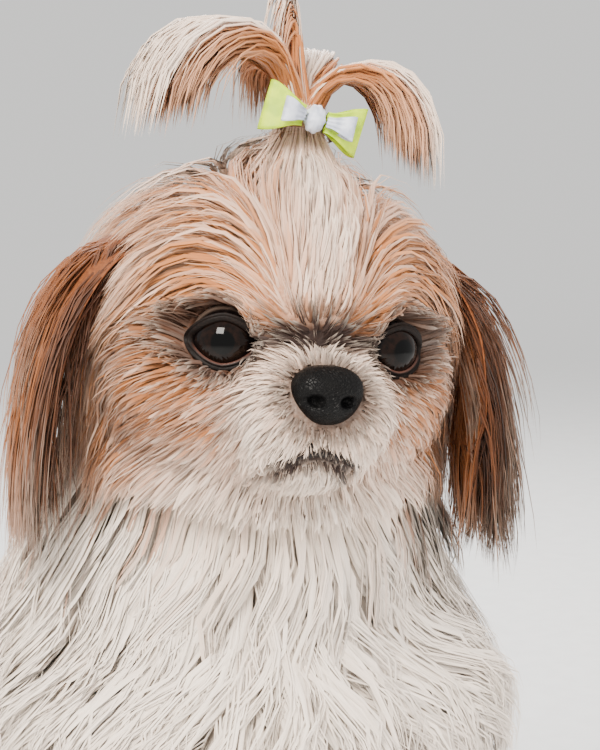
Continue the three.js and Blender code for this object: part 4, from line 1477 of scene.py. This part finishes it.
def ear_hair(side, seed, guide_count=110, count=2100):
    """The hair of one ear, darker towards its front edge."""
    chance = np.random.default_rng(seed)

    def draw(n):
        t = chance.uniform(0.02, 0.98, n) ** 0.8
        u = chance.uniform(-1, 1, n)
        face = np.where(chance.random(n) < OUTER_SHARE, 1.0, -1.0)
        at, along, across, out = ear_place(side, t, u)
        return at + out * (face * EAR_HALF_THICK)[:, None], along, across, out * face[:, None], u

    at, along, across, out, u = draw(guide_count)
    start = along + 0.22 * out + across * (0.2 * u)[:, None]
    long = (at[:, 2] - EAR_HEM) * chance.uniform(0.8, 1.02, guide_count)
    at = from_head(at)
    guides = hang(at, out @ HEAD_TURN.T, start @ HEAD_TURN.T, np.minimum(long, 80), 6, 0.36)
    roots, _, _, normals, u = draw(count)
    roots = from_head(roots)
    normals = normals @ HEAD_TURN.T
    lines, wisp_side = follow(
        guides, at, roots, chance, gather=0.7, messy=1.4, wave=3.2, wavelength=60,
    )
    chart = nearest_chart(roots, np.flatnonzero(quad_on_ear & (np.sign(quad_middle[:, 0]) == side)))
    name = "ear_left" if side > 0 else "ear_right"
    wide = chance.uniform(0.7, 1.8, count)
    marks = {
        "golden": np.ones(count),
        "dark": np.clip(0.7 * smooth(-u, 0.2, 1) + chance.normal(0, 0.1, count), 0, 1),
        "red": chance.uniform(0.75, 1, count),
    }
    weave(
        f"{name}_hair", lines, normals, wide, chart, marks, chance, long_hair, [name], "ear_hair",
        outward=np.broadcast_to(normals, lines.shape), wisp_side=wisp_side, roundness=2.5,
    )


for side, seed in ((1, 31), (-1, 32)):
    ear_hair(side, seed)

# %% [markdown]
# ## The topknot
# The crown's hair is gathered through a band, then falls over in wide smooth loops to both sides and behind.
# Combed hair hugs the head, so these strands are placed directly: a stem of hair up to the band,
# and above it tufts that each follow one bent path, inner hairs on a smaller arch than outer ones.

# %% The tufts of the topknot
TUFT_START = 8.5
TUFTS = [
    {"turn": 186, "reach": 56, "rise": 28, "drop": 16, "strands": 960, "wide": 11},
    {"turn": -6, "reach": 44, "rise": 19, "drop": 26, "strands": 820, "wide": 10},
    {"turn": 90, "reach": 36, "rise": 22, "drop": 10, "strands": 620, "wide": 13},
    {"turn": 215, "reach": 14, "rise": 36, "drop": -12, "strands": 60, "wide": 2.2},
]


def disc(count, chance):
    """Directions around the band's axis, and how near each strand runs to the rim."""
    turn = chance.uniform(0, 2 * math.pi, count)
    around = np.column_stack((np.cos(turn), np.sin(turn), 0 * turn))
    return around, np.sqrt(chance.uniform(0.02, 1, (count, 1)))


def tuft_lines(turn, reach, rise, drop, strands, wide, chance, steps=9):
    """Lines of one tuft, from the band up and over its arch, how far out each is, and its way out."""
    inner = 1 - 0.42 * chance.random(strands) ** 1.2
    angle = np.radians(turn + chance.normal(0, 7, strands))
    out = np.column_stack((np.cos(angle), np.sin(angle), 0 * angle))
    across = np.column_stack((-out[:, 1], out[:, 0], 0 * angle))
    rise_by = UP * (rise * inner)[:, None]
    reach_by = out * (reach * inner)[:, None]
    start = BAND_AT + (0, 0, TUFT_START) + out * 3.5
    knots = [
        start,
        start + reach_by * 0.15 + rise_by * 1.3,
        start + reach_by * 1.05 + rise_by * 1.25,
        start + reach_by - UP * (drop * inner)[:, None],
    ]
    spread = chance.uniform(-1, 1, strands)
    around, near = disc(strands, chance)
    lines = [BAND_AT + (0, 0, -2) + around * near * BAND_RADIUS, BAND_AT + (0, 0, 4) + around * near * 5]
    for s in np.linspace(0, 1, steps - 1)[1:]:
        weights = [(1 - s) ** 3, 3 * s * (1 - s) ** 2, 3 * s * s * (1 - s), s**3]
        centre = sum(weight * knot for weight, knot in zip(weights, knots))
        fan = wide * float(smooth(s, 0, 0.4)) * (1 - 0.35 * float(smooth(s, 0.6, 1)))
        lines.append(centre + across * (spread * fan)[:, None] + around * near * (3 * (1 - s)))
    lines = np.stack(lines)
    tangent = unit(np.gradient(lines, axis=0))
    bulge = unit(np.cross(tangent, across)) * ((inner - 0.8) * 5)[:, None]
    return lines, inner, unit(bulge + across * spread[:, None] + (0, 0, 0.3))


# %% The stem and the whole topknot
STEM_STRANDS = 700
STEM_STATIONS = [(-30, 25), (-22, 21), (-14, 16), (-7, 11), (-1, 7.2), (4, 6), (9, 8)]
STEM_GOLDEN = 0.45


def stem_lines(count, chance):
    """Hair from the crown up to the band and a little past it, by height and width at each station."""
    around, near = disc(count, chance)
    around_by = around * (0.35 + 0.65 * near)
    lines = np.stack([BAND_AT + (0, 0, rise) + around_by * wide for rise, wide in STEM_STATIONS])
    return lines, np.broadcast_to(unit(around + (0, 0, 0.4)), lines.shape)


def topknot(seed):
    """The stem, then the tufts, from one seed."""
    chance = np.random.default_rng(seed)
    every_quad = np.arange(len(quad_middle))
    stem, stem_out = stem_lines(STEM_STRANDS, chance)
    chart = nearest_chart(from_head(stem[0]), every_quad)
    stem = stem + chance.normal(0, 0.5, (1,) + stem.shape[1:])
    stem = from_head(stem.reshape(-1, 3)).reshape(stem.shape)
    none = np.zeros(STEM_STRANDS)
    marks = {"golden": none + STEM_GOLDEN, "dark": none, "red": none}
    wide = chance.uniform(0.9, 1.8, STEM_STRANDS)
    weave(
        "topknot_stem", stem, stem_out[0] @ HEAD_TURN.T, wide, chart, marks, chance, long_hair,
        ["topknot"], "topknot_hair", outward=stem_out @ HEAD_TURN.T, roundness=1.5,
    )
    made = [tuft_lines(chance=chance, **tuft) for tuft in TUFTS]
    lines = np.concatenate([one[0] for one in made], axis=1)
    inner = np.concatenate([one[1] for one in made])
    outward = np.concatenate([one[2] for one in made], axis=1)
    count = lines.shape[1]
    lines = lines + chance.normal(0, 0.7, (1, count, 3)) * np.linspace(0, 1, len(lines))[:, None, None]
    lines = at_length(lines, chance.uniform(0.8, 1, count))
    lines = from_head(lines.reshape(-1, 3)).reshape(lines.shape)
    marks = {
        "golden": 1 - 0.75 * smooth(inner, 0.86, 0.98),
        "dark": np.zeros(count),
        "red": 0.25 * (1 - smooth(inner, 0.6, 0.9)),
    }
    wide = chance.uniform(1.3, 2.6, count)
    chart = nearest_chart(lines[0], every_quad)
    weave(
        "topknot_hair", lines, outward[4] @ HEAD_TURN.T, wide, chart, marks, chance, long_hair,
        ["topknot"], "topknot_hair", outward=outward @ HEAD_TURN.T, roundness=2.5,
    )


topknot(41)
print("coat in all:", sum(totals.values()), "triangles")

# %% [markdown]
# ## Eyes
# A dog's eye is a dark, wet ball: a brown iris round a wide pupil, under a clear cornea with sharp glints.
# A clear shell over a coloured ball would be closer to life, but is one more surface to fit and to bake.
# So the ball bulges a little in front and is glossy, and its rings take their colour by distance.

# %% Eyeballs with iris and pupil


def sphere(columns, rows):
    """A unit ball whose pole faces -Y, as points and quads."""
    from_pole = np.linspace(1e-3, math.pi - 1e-3, rows)
    around = np.arange(columns) / columns * 2 * math.pi
    v, u = np.meshgrid(from_pole, around, indexing="ij")
    points = np.stack((np.sin(v) * np.cos(u), -np.cos(v), np.sin(v) * np.sin(u)), -1).reshape(-1, 3)
    return points, grid_faces(rows, columns, True)[:, ::-1]


eye_finish, wire, shader = new_finish("wet eye", Roughness=0.06, Specular_IOR_Level=0.16)
ring = wire.attribute("ring")
streaks = wire.noise(700.0, 4.0).between(0.3, 0.7)
iris = streaks.mix(paint(0.035, 0.02, 0.015), paint(0.085, 0.045, 0.03))
inner = ring.between(0.30, 0.36).mix(paint(0.01, 0.01, 0.01), iris)
outer = ring.between(0.62, 0.70).mix(inner, paint(0.03, 0.02, 0.02))
feed(shader, Base_Color=ring.between(0.86, 0.95).mix(outer, paint(0.30, 0.25, 0.22)))

ball, ball_faces = sphere(64, 48)
for side, name in ((1, "eye_left"), (-1, "eye_right")):
    bulge = 1 + 0.02 * smooth(-ball[:, 1], 0.75, 0.95)
    turned_ball = ball[:, :1] * across_gaze(side) - ball[:, 1:2] * gaze(side) + ball[:, 2:] * UP
    points = from_head(eye_centre(side) + turned_ball * (bulge * EYE_RADIUS)[:, None])
    eye = add_mesh(f"{name}_ball", points, ball_faces, eye_finish)
    add_values(eye, ring=np.hypot(ball[:, 0], ball[:, 2]) + 2 * (ball[:, 1] > 0))
    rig.replaces(eye, name)
    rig.slot(eye, "eye")
print("eyeballs:", 2 * EYE_RADIUS, "mm across")

# %% [markdown]
# ## Lids
# Bare, dark rims hold each eye.
# The upper one is thick and shades it; the lower one ends in a thin pale, wet line.
# The skin's cells are too coarse for an edge this fine, so the rim is swept round the opening, on the ball.
# A second, wider ring under it fills the socket's edge with dark skin, as the pouch of a real lid does.

# %% A rim swept round the opening
LID_DEPTH = 0.7
LID_GAP = 0.35


def lid(side, opening, thin, thick):
    """A closed rim round the eye, lying on the ball, from thin below to thick above."""
    across = across_gaze(side)
    rows, columns = 72, 14
    turn = np.linspace(0, 2 * math.pi, rows + 1)[:, None]
    tube = np.linspace(0, 2 * math.pi, columns, endpoint=False)[None, :]
    thick = blend(thin, thick, smooth(np.sin(turn), -0.6, 0.6))
    corner = 1 + 0.16 * np.abs(np.cos(turn)) ** 6
    wide = opening[0] * np.cos(turn) * corner
    high = opening[1] * np.sin(turn) * (1 - 0.1 * np.abs(np.cos(turn)))
    deep = np.sqrt(np.maximum((EYE_RADIUS + LID_GAP) ** 2 - wide**2 - high**2, 9))
    on_ball = across * wide[..., None] + UP * high[..., None] + gaze(side) * deep[..., None]
    rim = across * np.cos(turn)[..., None] + UP * np.sin(turn)[..., None]
    outwards = (np.cos(tube) + 0.8)[..., None]
    raised = np.minimum(thick, LID_DEPTH) * np.sin(tube)
    points = on_ball + rim * (thick[..., None] * outwards) + unit(on_ball) * raised[..., None]
    points = (points + eye_centre(side)).reshape(-1, 3)
    wet = smooth(-np.cos(tube), 0.3, 0.9) * smooth(-np.sin(turn), 0.1, 0.6)
    return points, grid_faces(rows + 1, columns, True)[:, ::-1], wet.ravel()


lid_finish, wire, shader = new_finish("eye rim", Specular_IOR_Level=0.12)
wet = wire.attribute("wet")
grain = wire.noise(1500.0, 3.0)
dry_rim = grain.between(0.3, 0.8).mix(paint(0.05, 0.035, 0.03), paint(0.11, 0.075, 0.06))
feed(
    shader,
    Base_Color=wet.mix(dry_rim, paint(0.3, 0.2, 0.17)),
    Roughness=0.55 - 0.35 * wet,
    Normal=wire.bump(grain, 0.4, 0.0004),
)
LID_PARTS = (("rim", EYE_OPENING, 0.45, 0.8), ("pouch", EYE_POUCH, 0.9, 0.9))
for side, name in ((1, "left"), (-1, "right")):
    for part, opening, thin, thick in LID_PARTS:
        points, faces, wet_line = lid(side, opening, thin, thick)
        piece = add_mesh(f"eye_{part}_{name}", from_head(points), faces, lid_finish)
        add_values(piece, wet=wet_line * (part == "rim"))
print("openings of the lids:", [2 * half for half in EYE_OPENING], "mm")

# %% [markdown]
# ## Nose
# The nose leather is a black, damp, finely pebbled pad with two comma-shaped nostrils and a groove below.
# It is modelled as its own small distance field, because carving nostrils is one subtraction there.

# %% Nose leather
NOSE_CELL = 0.4


def nose_field(q):
    """The leather as a squarish egg, with nostrils, their slits and the groove carved out."""
    p = q - NOSE_AT
    z = p[:, 2] / NOSE_SIZE[2]
    wide = NOSE_SIZE[0] * (1 + 0.1 * z) * (1 - 0.12 * np.maximum(-z, 0))
    deep = NOSE_SIZE[1] * np.where(p[:, 1] < 0, 0.92, 1.15)
    scaled = np.column_stack((p[:, 0] / wide, p[:, 1] / deep, z))
    length = (np.abs(scaled) ** 2.3).sum(axis=1) ** (1 / 2.3)
    found = (length - 1) * 8
    mirror = np.column_stack((np.abs(p[:, 0]), p[:, 1], p[:, 2]))
    hole = egg((5.2, -7.6, -1.4), (2.9, 4.6, 2.0))(mirror)
    slit = limb((7.0, -6.8, -1.2), (10.4, -3.4, -2.4), 1.1, 0.7)(mirror)
    carve = melt(1.5, lambda _: hole, lambda _: slit)(mirror)
    groove = limb((0, -8.2, -2), (0, -6.6, -10), 0.55, 0.8)(p)
    for cut, soft in ((carve, 1.2), (groove, 0.9)):
        h = np.maximum(soft - np.abs(found + cut), 0) / soft
        found = np.maximum(found, -cut) + h * h * soft / 4
    return found


nose_reach = ((-13, 13.4), (-65, -43), (-25, -1.6))
nose_axes = [np.arange(low, high, NOSE_CELL) for low, high in nose_reach]
nose_points, nose_quads = surface_net(nose_field, nose_axes)
nose_points = settle(nose_field, nose_points, 2)

nose_finish, wire, shader = new_finish("nose leather", Specular_IOR_Level=0.14)
pebble_place = {"Vector": wire.place(), "Scale": 1100.0}
pebbles = wire.node("ShaderNodeTexVoronoi", {"feature": "DISTANCE_TO_EDGE"}, pebble_place)
damp = wire.noise(160.0, 3.0)
feed(
    shader,
    Base_Color=damp.between(0.35, 0.75).mix(paint(0.012, 0.012, 0.014), paint(0.03, 0.027, 0.028)),
    Roughness=0.32 + 0.25 * damp.between(0.3, 0.7),
    Normal=wire.bump(pebbles.between(0.0, 0.18), 0.55, 0.0005),
)
nose = add_mesh("nose_leather", from_head(nose_points), nose_quads, nose_finish)
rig.replaces(nose, "nose")
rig.slot(nose, "nose_leather")
print("nose leather:", len(nose_quads), "quads")

# %% [markdown]
# ## Lips
# A dark, moist edge follows the line of the mouth, so that the closed mouth reads through the hair.
# The fold in the skin gives the shadow.
# Two slim ropes swept along the same line give the lips their roundness.

# %% Lips swept along the mouth


def sweep(path, radius, columns=10):
    """A closed round rope along a path, thinning to its ends by radius, one number a point."""
    tangent = unit(np.gradient(path, axis=0))
    side = unit(np.cross(tangent, UP))
    out = np.cross(side, tangent)
    turn = np.arange(columns) / columns * 2 * math.pi
    around = side[:, None] * np.cos(turn)[None, :, None] + out[:, None] * np.sin(turn)[None, :, None]
    points = path[:, None] + around * radius[:, None, None]
    return points.reshape(-1, 3), grid_faces(len(path), columns, True)[:, ::-1]


lip_finish, wire, shader = new_finish("dark lips", Specular_IOR_Level=0.3)
grain = wire.noise(1200.0, 3.0)
feed(
    shader,
    Base_Color=grain.between(0.3, 0.8).mix(paint(0.04, 0.025, 0.025), paint(0.11, 0.07, 0.06)),
    Roughness=0.35 + 0.3 * grain,
    Normal=wire.bump(grain, 0.4, 0.0004),
)
for name, lift, thick in (("upper_lip", 1.3, 1.5), ("lower_lip", -1.5, 1.6)):
    path = mouth_line(lift)
    ends = np.sqrt(np.clip(1 - np.linspace(-1, 1, len(path)) ** 4, 0.01, 1))
    points, faces = sweep(path, thick * ends)
    piece = add_mesh(name, from_head(points), faces, lip_finish)
    print(piece.name, len(faces), "quads")

# %% [markdown]
# ## Claws
# Each toe ends in a short dark claw, curved down towards the floor.
# Cones would look like thorns. A rope swept along a bent path and thinned to its end has a claw's curve,
# and all sixteen are one mesh, since they share one finish.

# %% Sixteen claws in one mesh
CLAW_RINGS, CLAW_SIDES = 8, 8
CLAW_RADIUS = 1.7
CLAW_LENGTH = 7
CLAW_DROP = 5.2

claw_finish, wire, shader = new_finish("claw horn", Coat_Weight=0.3, Coat_Roughness=0.3)
layers = wire.noise(500.0, 2.0)
feed(
    shader,
    Base_Color=layers.between(0.3, 0.7).mix(paint(0.16, 0.12, 0.10), paint(0.34, 0.27, 0.22)),
    Roughness=0.3 + 0.25 * layers,
    Normal=wire.bump(layers, 0.3, 0.0003),
)
claw_points = []
claw_faces = []
for paw in (FRONT_PAW, HIND_PAW):
    for toe, place in zip(toes(paw), TOE_PLACES):
        for side in (-1, 1):
            turn = TOE_FAN * place
            out = np.array([math.sin(turn), -math.cos(turn), 0])
            s = np.linspace(0, 1, CLAW_RINGS)
            ahead = TOE_RADIUS - 1.5 + CLAW_LENGTH * s
            over = 1.2 - CLAW_DROP * s**1.6
            path = np.array(toe) + out * ahead[:, None] + UP * over[:, None]
            radius = CLAW_RADIUS * (1 - 0.92 * s**1.5)
            points, faces = sweep(path * (side, 1, 1), radius, CLAW_SIDES)
            claw_faces.append(faces + CLAW_RINGS * CLAW_SIDES * len(claw_points))
            claw_points.append(points)
claw_points = np.concatenate(claw_points)
add_mesh("claws", claw_points, np.concatenate(claw_faces), claw_finish)
print("claws lowest at", round(float(claw_points[:, 2].min()), 2), "mm")

# %% [markdown]
# ## The bow
# Two pairs of ribbon loops, wide yellow and narrow silver, meet in a knot in front of the hair band.
# Each loop is a strip with a thickness, swept round a flat leaf shape and puckered where the knot pinches it.
# Cloth could be simulated into a bow.
# Loops this small keep their shape by their own stiffness, so their curve is drawn instead.

# %% The form of a ribbon loop
BOW_KNOT = BAND_AT + (0, -15.4, 4)
BOW_TILT = np.array(Matrix.Rotation(math.radians(12), 3, "Y"))
RIBBON = 0.35
PINCH = 3.8


def from_bow(points):
    return from_head(points @ BOW_TILT.T + BOW_KNOT)


def ribbon_loop(side, reach, tall, belly, forward):
    """A loop of ribbon seen from above: out from the knot and back to it."""
    half = [(PINCH, -0.3, 0), (reach * 0.4, -belly * 1.15, 0), (reach, -belly * 1.2, 0), (reach, 0, 0)]
    front = np.array(interpolate_bezier(*half, 20))[:, :2]
    curve = np.concatenate((front, front[-2::-1] * (1, -1)))
    tangent = unit(np.gradient(curve, axis=0))
    normal = np.column_stack((-tangent[:, 1], tangent[:, 0]))
    height = np.linspace(-0.5, 0.5, 13)
    layers = []
    for inwards in (-0.5, 0.5):
        x = curve[:, None, 0] + normal[:, None, 0] * inwards * RIBBON + 0 * height[None]
        y = curve[:, None, 1] + normal[:, None, 1] * inwards * RIBBON + 0 * height[None]
        fan = blend(0.42, 1, smooth(x, PINCH, reach))
        pucker = 0.5 * (1 - smooth(x, 4, reach * 0.75)) * np.cos(height[None] * 6 * math.pi)
        sway = 0.5 * np.sin(x * 0.55 + 2.2 * height[None]) * smooth(x, 5, reach)
        z = height[None] * tall * fan
        y = y + forward * x / reach + pucker + sway
        layers.append(np.stack((x * side, y, z), -1))
    rows, columns, _ = layers[0].shape
    both = np.concatenate((layers[0], layers[1][:, ::-1]), axis=1)
    faces = grid_faces(rows, 2 * columns, True)
    if side > 0:
        faces = faces[:, ::-1]
    return both.reshape(-1, 3), faces


# %% Satin, with its weave


def satin(name, base, deep, gloss):
    """Ribbon: fine weave ridges across it and a soft sheen."""
    made, wire, shader = new_finish(name, Specular_IOR_Level=0.4)
    weft = wire.node("ShaderNodeTexWave", {"bands_direction": "Z"}, {"Vector": wire.place(), "Scale": 900.0})
    warp = wire.node("ShaderNodeTexWave", {"bands_direction": "X"}, {"Vector": wire.place(), "Scale": 900.0})
    weave_height = 0.5 * weft + 0.5 * warp
    cloud = wire.noise(220.0, 2.0).between(0.3, 0.7)
    feed(
        shader,
        Base_Color=cloud.mix(deep, base),
        Roughness=gloss + 0.12 * cloud,
        Normal=wire.bump(weave_height, 0.25, 0.0002),
    )
    return made


yellow_satin = satin("yellow ribbon", paint(0.80, 0.92, 0.0), paint(0.66, 0.80, 0.0), 0.4)
silver_satin = satin("silver ribbon", paint(0.86, 0.88, 0.93), paint(0.66, 0.69, 0.76), 0.22)

# %% Two pairs of loops
LOOPS = [
    ("outer", yellow_satin, "yellow_ribbon", {"reach": 16.5, "tall": 16, "belly": 3, "forward": 2}),
    ("inner", silver_satin, "silver_ribbon", {"reach": 12.0, "tall": 8, "belly": 2.4, "forward": -5}),
]
for pair, finish, slot, sizes in LOOPS:
    for name, side in (("left", 1), ("right", -1)):
        points, faces = ribbon_loop(side, **sizes)
        loop = add_mesh(f"bow_{pair}_loop_{name}", from_bow(points), faces, finish)
        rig.replaces(loop, f"bow_{pair}_{name}")
        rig.slot(loop, slot)
        print(loop.name, len(faces), "quads")

# %% [markdown]
# ## The knot and the hair band
# The ribbon is wound round its own middle, so the knot is a small pillow with folds that run around it.
# The band is a ring of elastic covered with thread.
# Both are too small for a cloth simulation, so ripples are put in their radius.

# %% The knot
KNOT_SIZE = (3.4, 3.6, 4.6)
ball, ball_faces = sphere(40, 28)
folds = 1 + 0.05 * np.cos(9 * np.arctan2(ball[:, 2], ball[:, 0])) * (1 - ball[:, 1] ** 2)
knot = add_mesh("bow_knot_wrap", from_bow(ball * folds[:, None] * KNOT_SIZE), ball_faces, silver_satin)
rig.replaces(knot, "bow_knot")
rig.slot(knot, "silver_ribbon")
print("knot:", 2 * KNOT_SIZE[2], "mm tall")

# %% The hair band
BAND_SIDES, BAND_TUBE = 96, 16
BAND_RING = 8.8
BAND_HALF = 2.2
BAND_RISE = 3.5

band_finish, wire, shader = new_finish("hair tie", Roughness=0.8)
threads = wire.noise(800.0, 2.0)
feed(
    shader,
    Base_Color=threads.between(0.3, 0.7).mix(paint(0.38, 0.28, 0.20), paint(0.55, 0.43, 0.31)),
    Normal=wire.bump(threads, 0.6, 0.0004),
)
turn = np.arange(BAND_SIDES)[:, None] / BAND_SIDES * 2 * math.pi
tube = np.arange(BAND_TUBE)[None, :] / BAND_TUBE * 2 * math.pi
thread = BAND_HALF * (1 + 0.06 * np.cos(24 * turn + 3 * tube))
ring = BAND_RING + thread * np.cos(tube)
band_points = np.stack((ring * np.cos(turn), ring * np.sin(turn), thread * np.sin(tube)), -1).reshape(-1, 3)
band_faces = grid_faces(BAND_SIDES + 1, BAND_TUBE, True)[:, ::-1] % (BAND_SIDES * BAND_TUBE)
band_points = from_head(band_points + BAND_AT + (0, 0, BAND_RISE))
band = add_mesh("hair_band_wrap", band_points, band_faces, band_finish)
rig.replaces(band, "hair_band")
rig.slot(band, "hair_tie")

# %% [markdown]
# ## Sizes
# The visual model should fill the same box as the solids, so both boxes are written side by side.
# Looking at a picture doesn't show a few millimetres too many. Two boxes of numbers do.

# %% Sizes and finish
with open("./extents.json", "w") as file:
    boxes = {"solids": solid_box, "visual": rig.bounds()}
    json.dump({name: [[float(v) for v in corner] for corner in box] for name, box in boxes.items()}, file)
print(open("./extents.json").read())
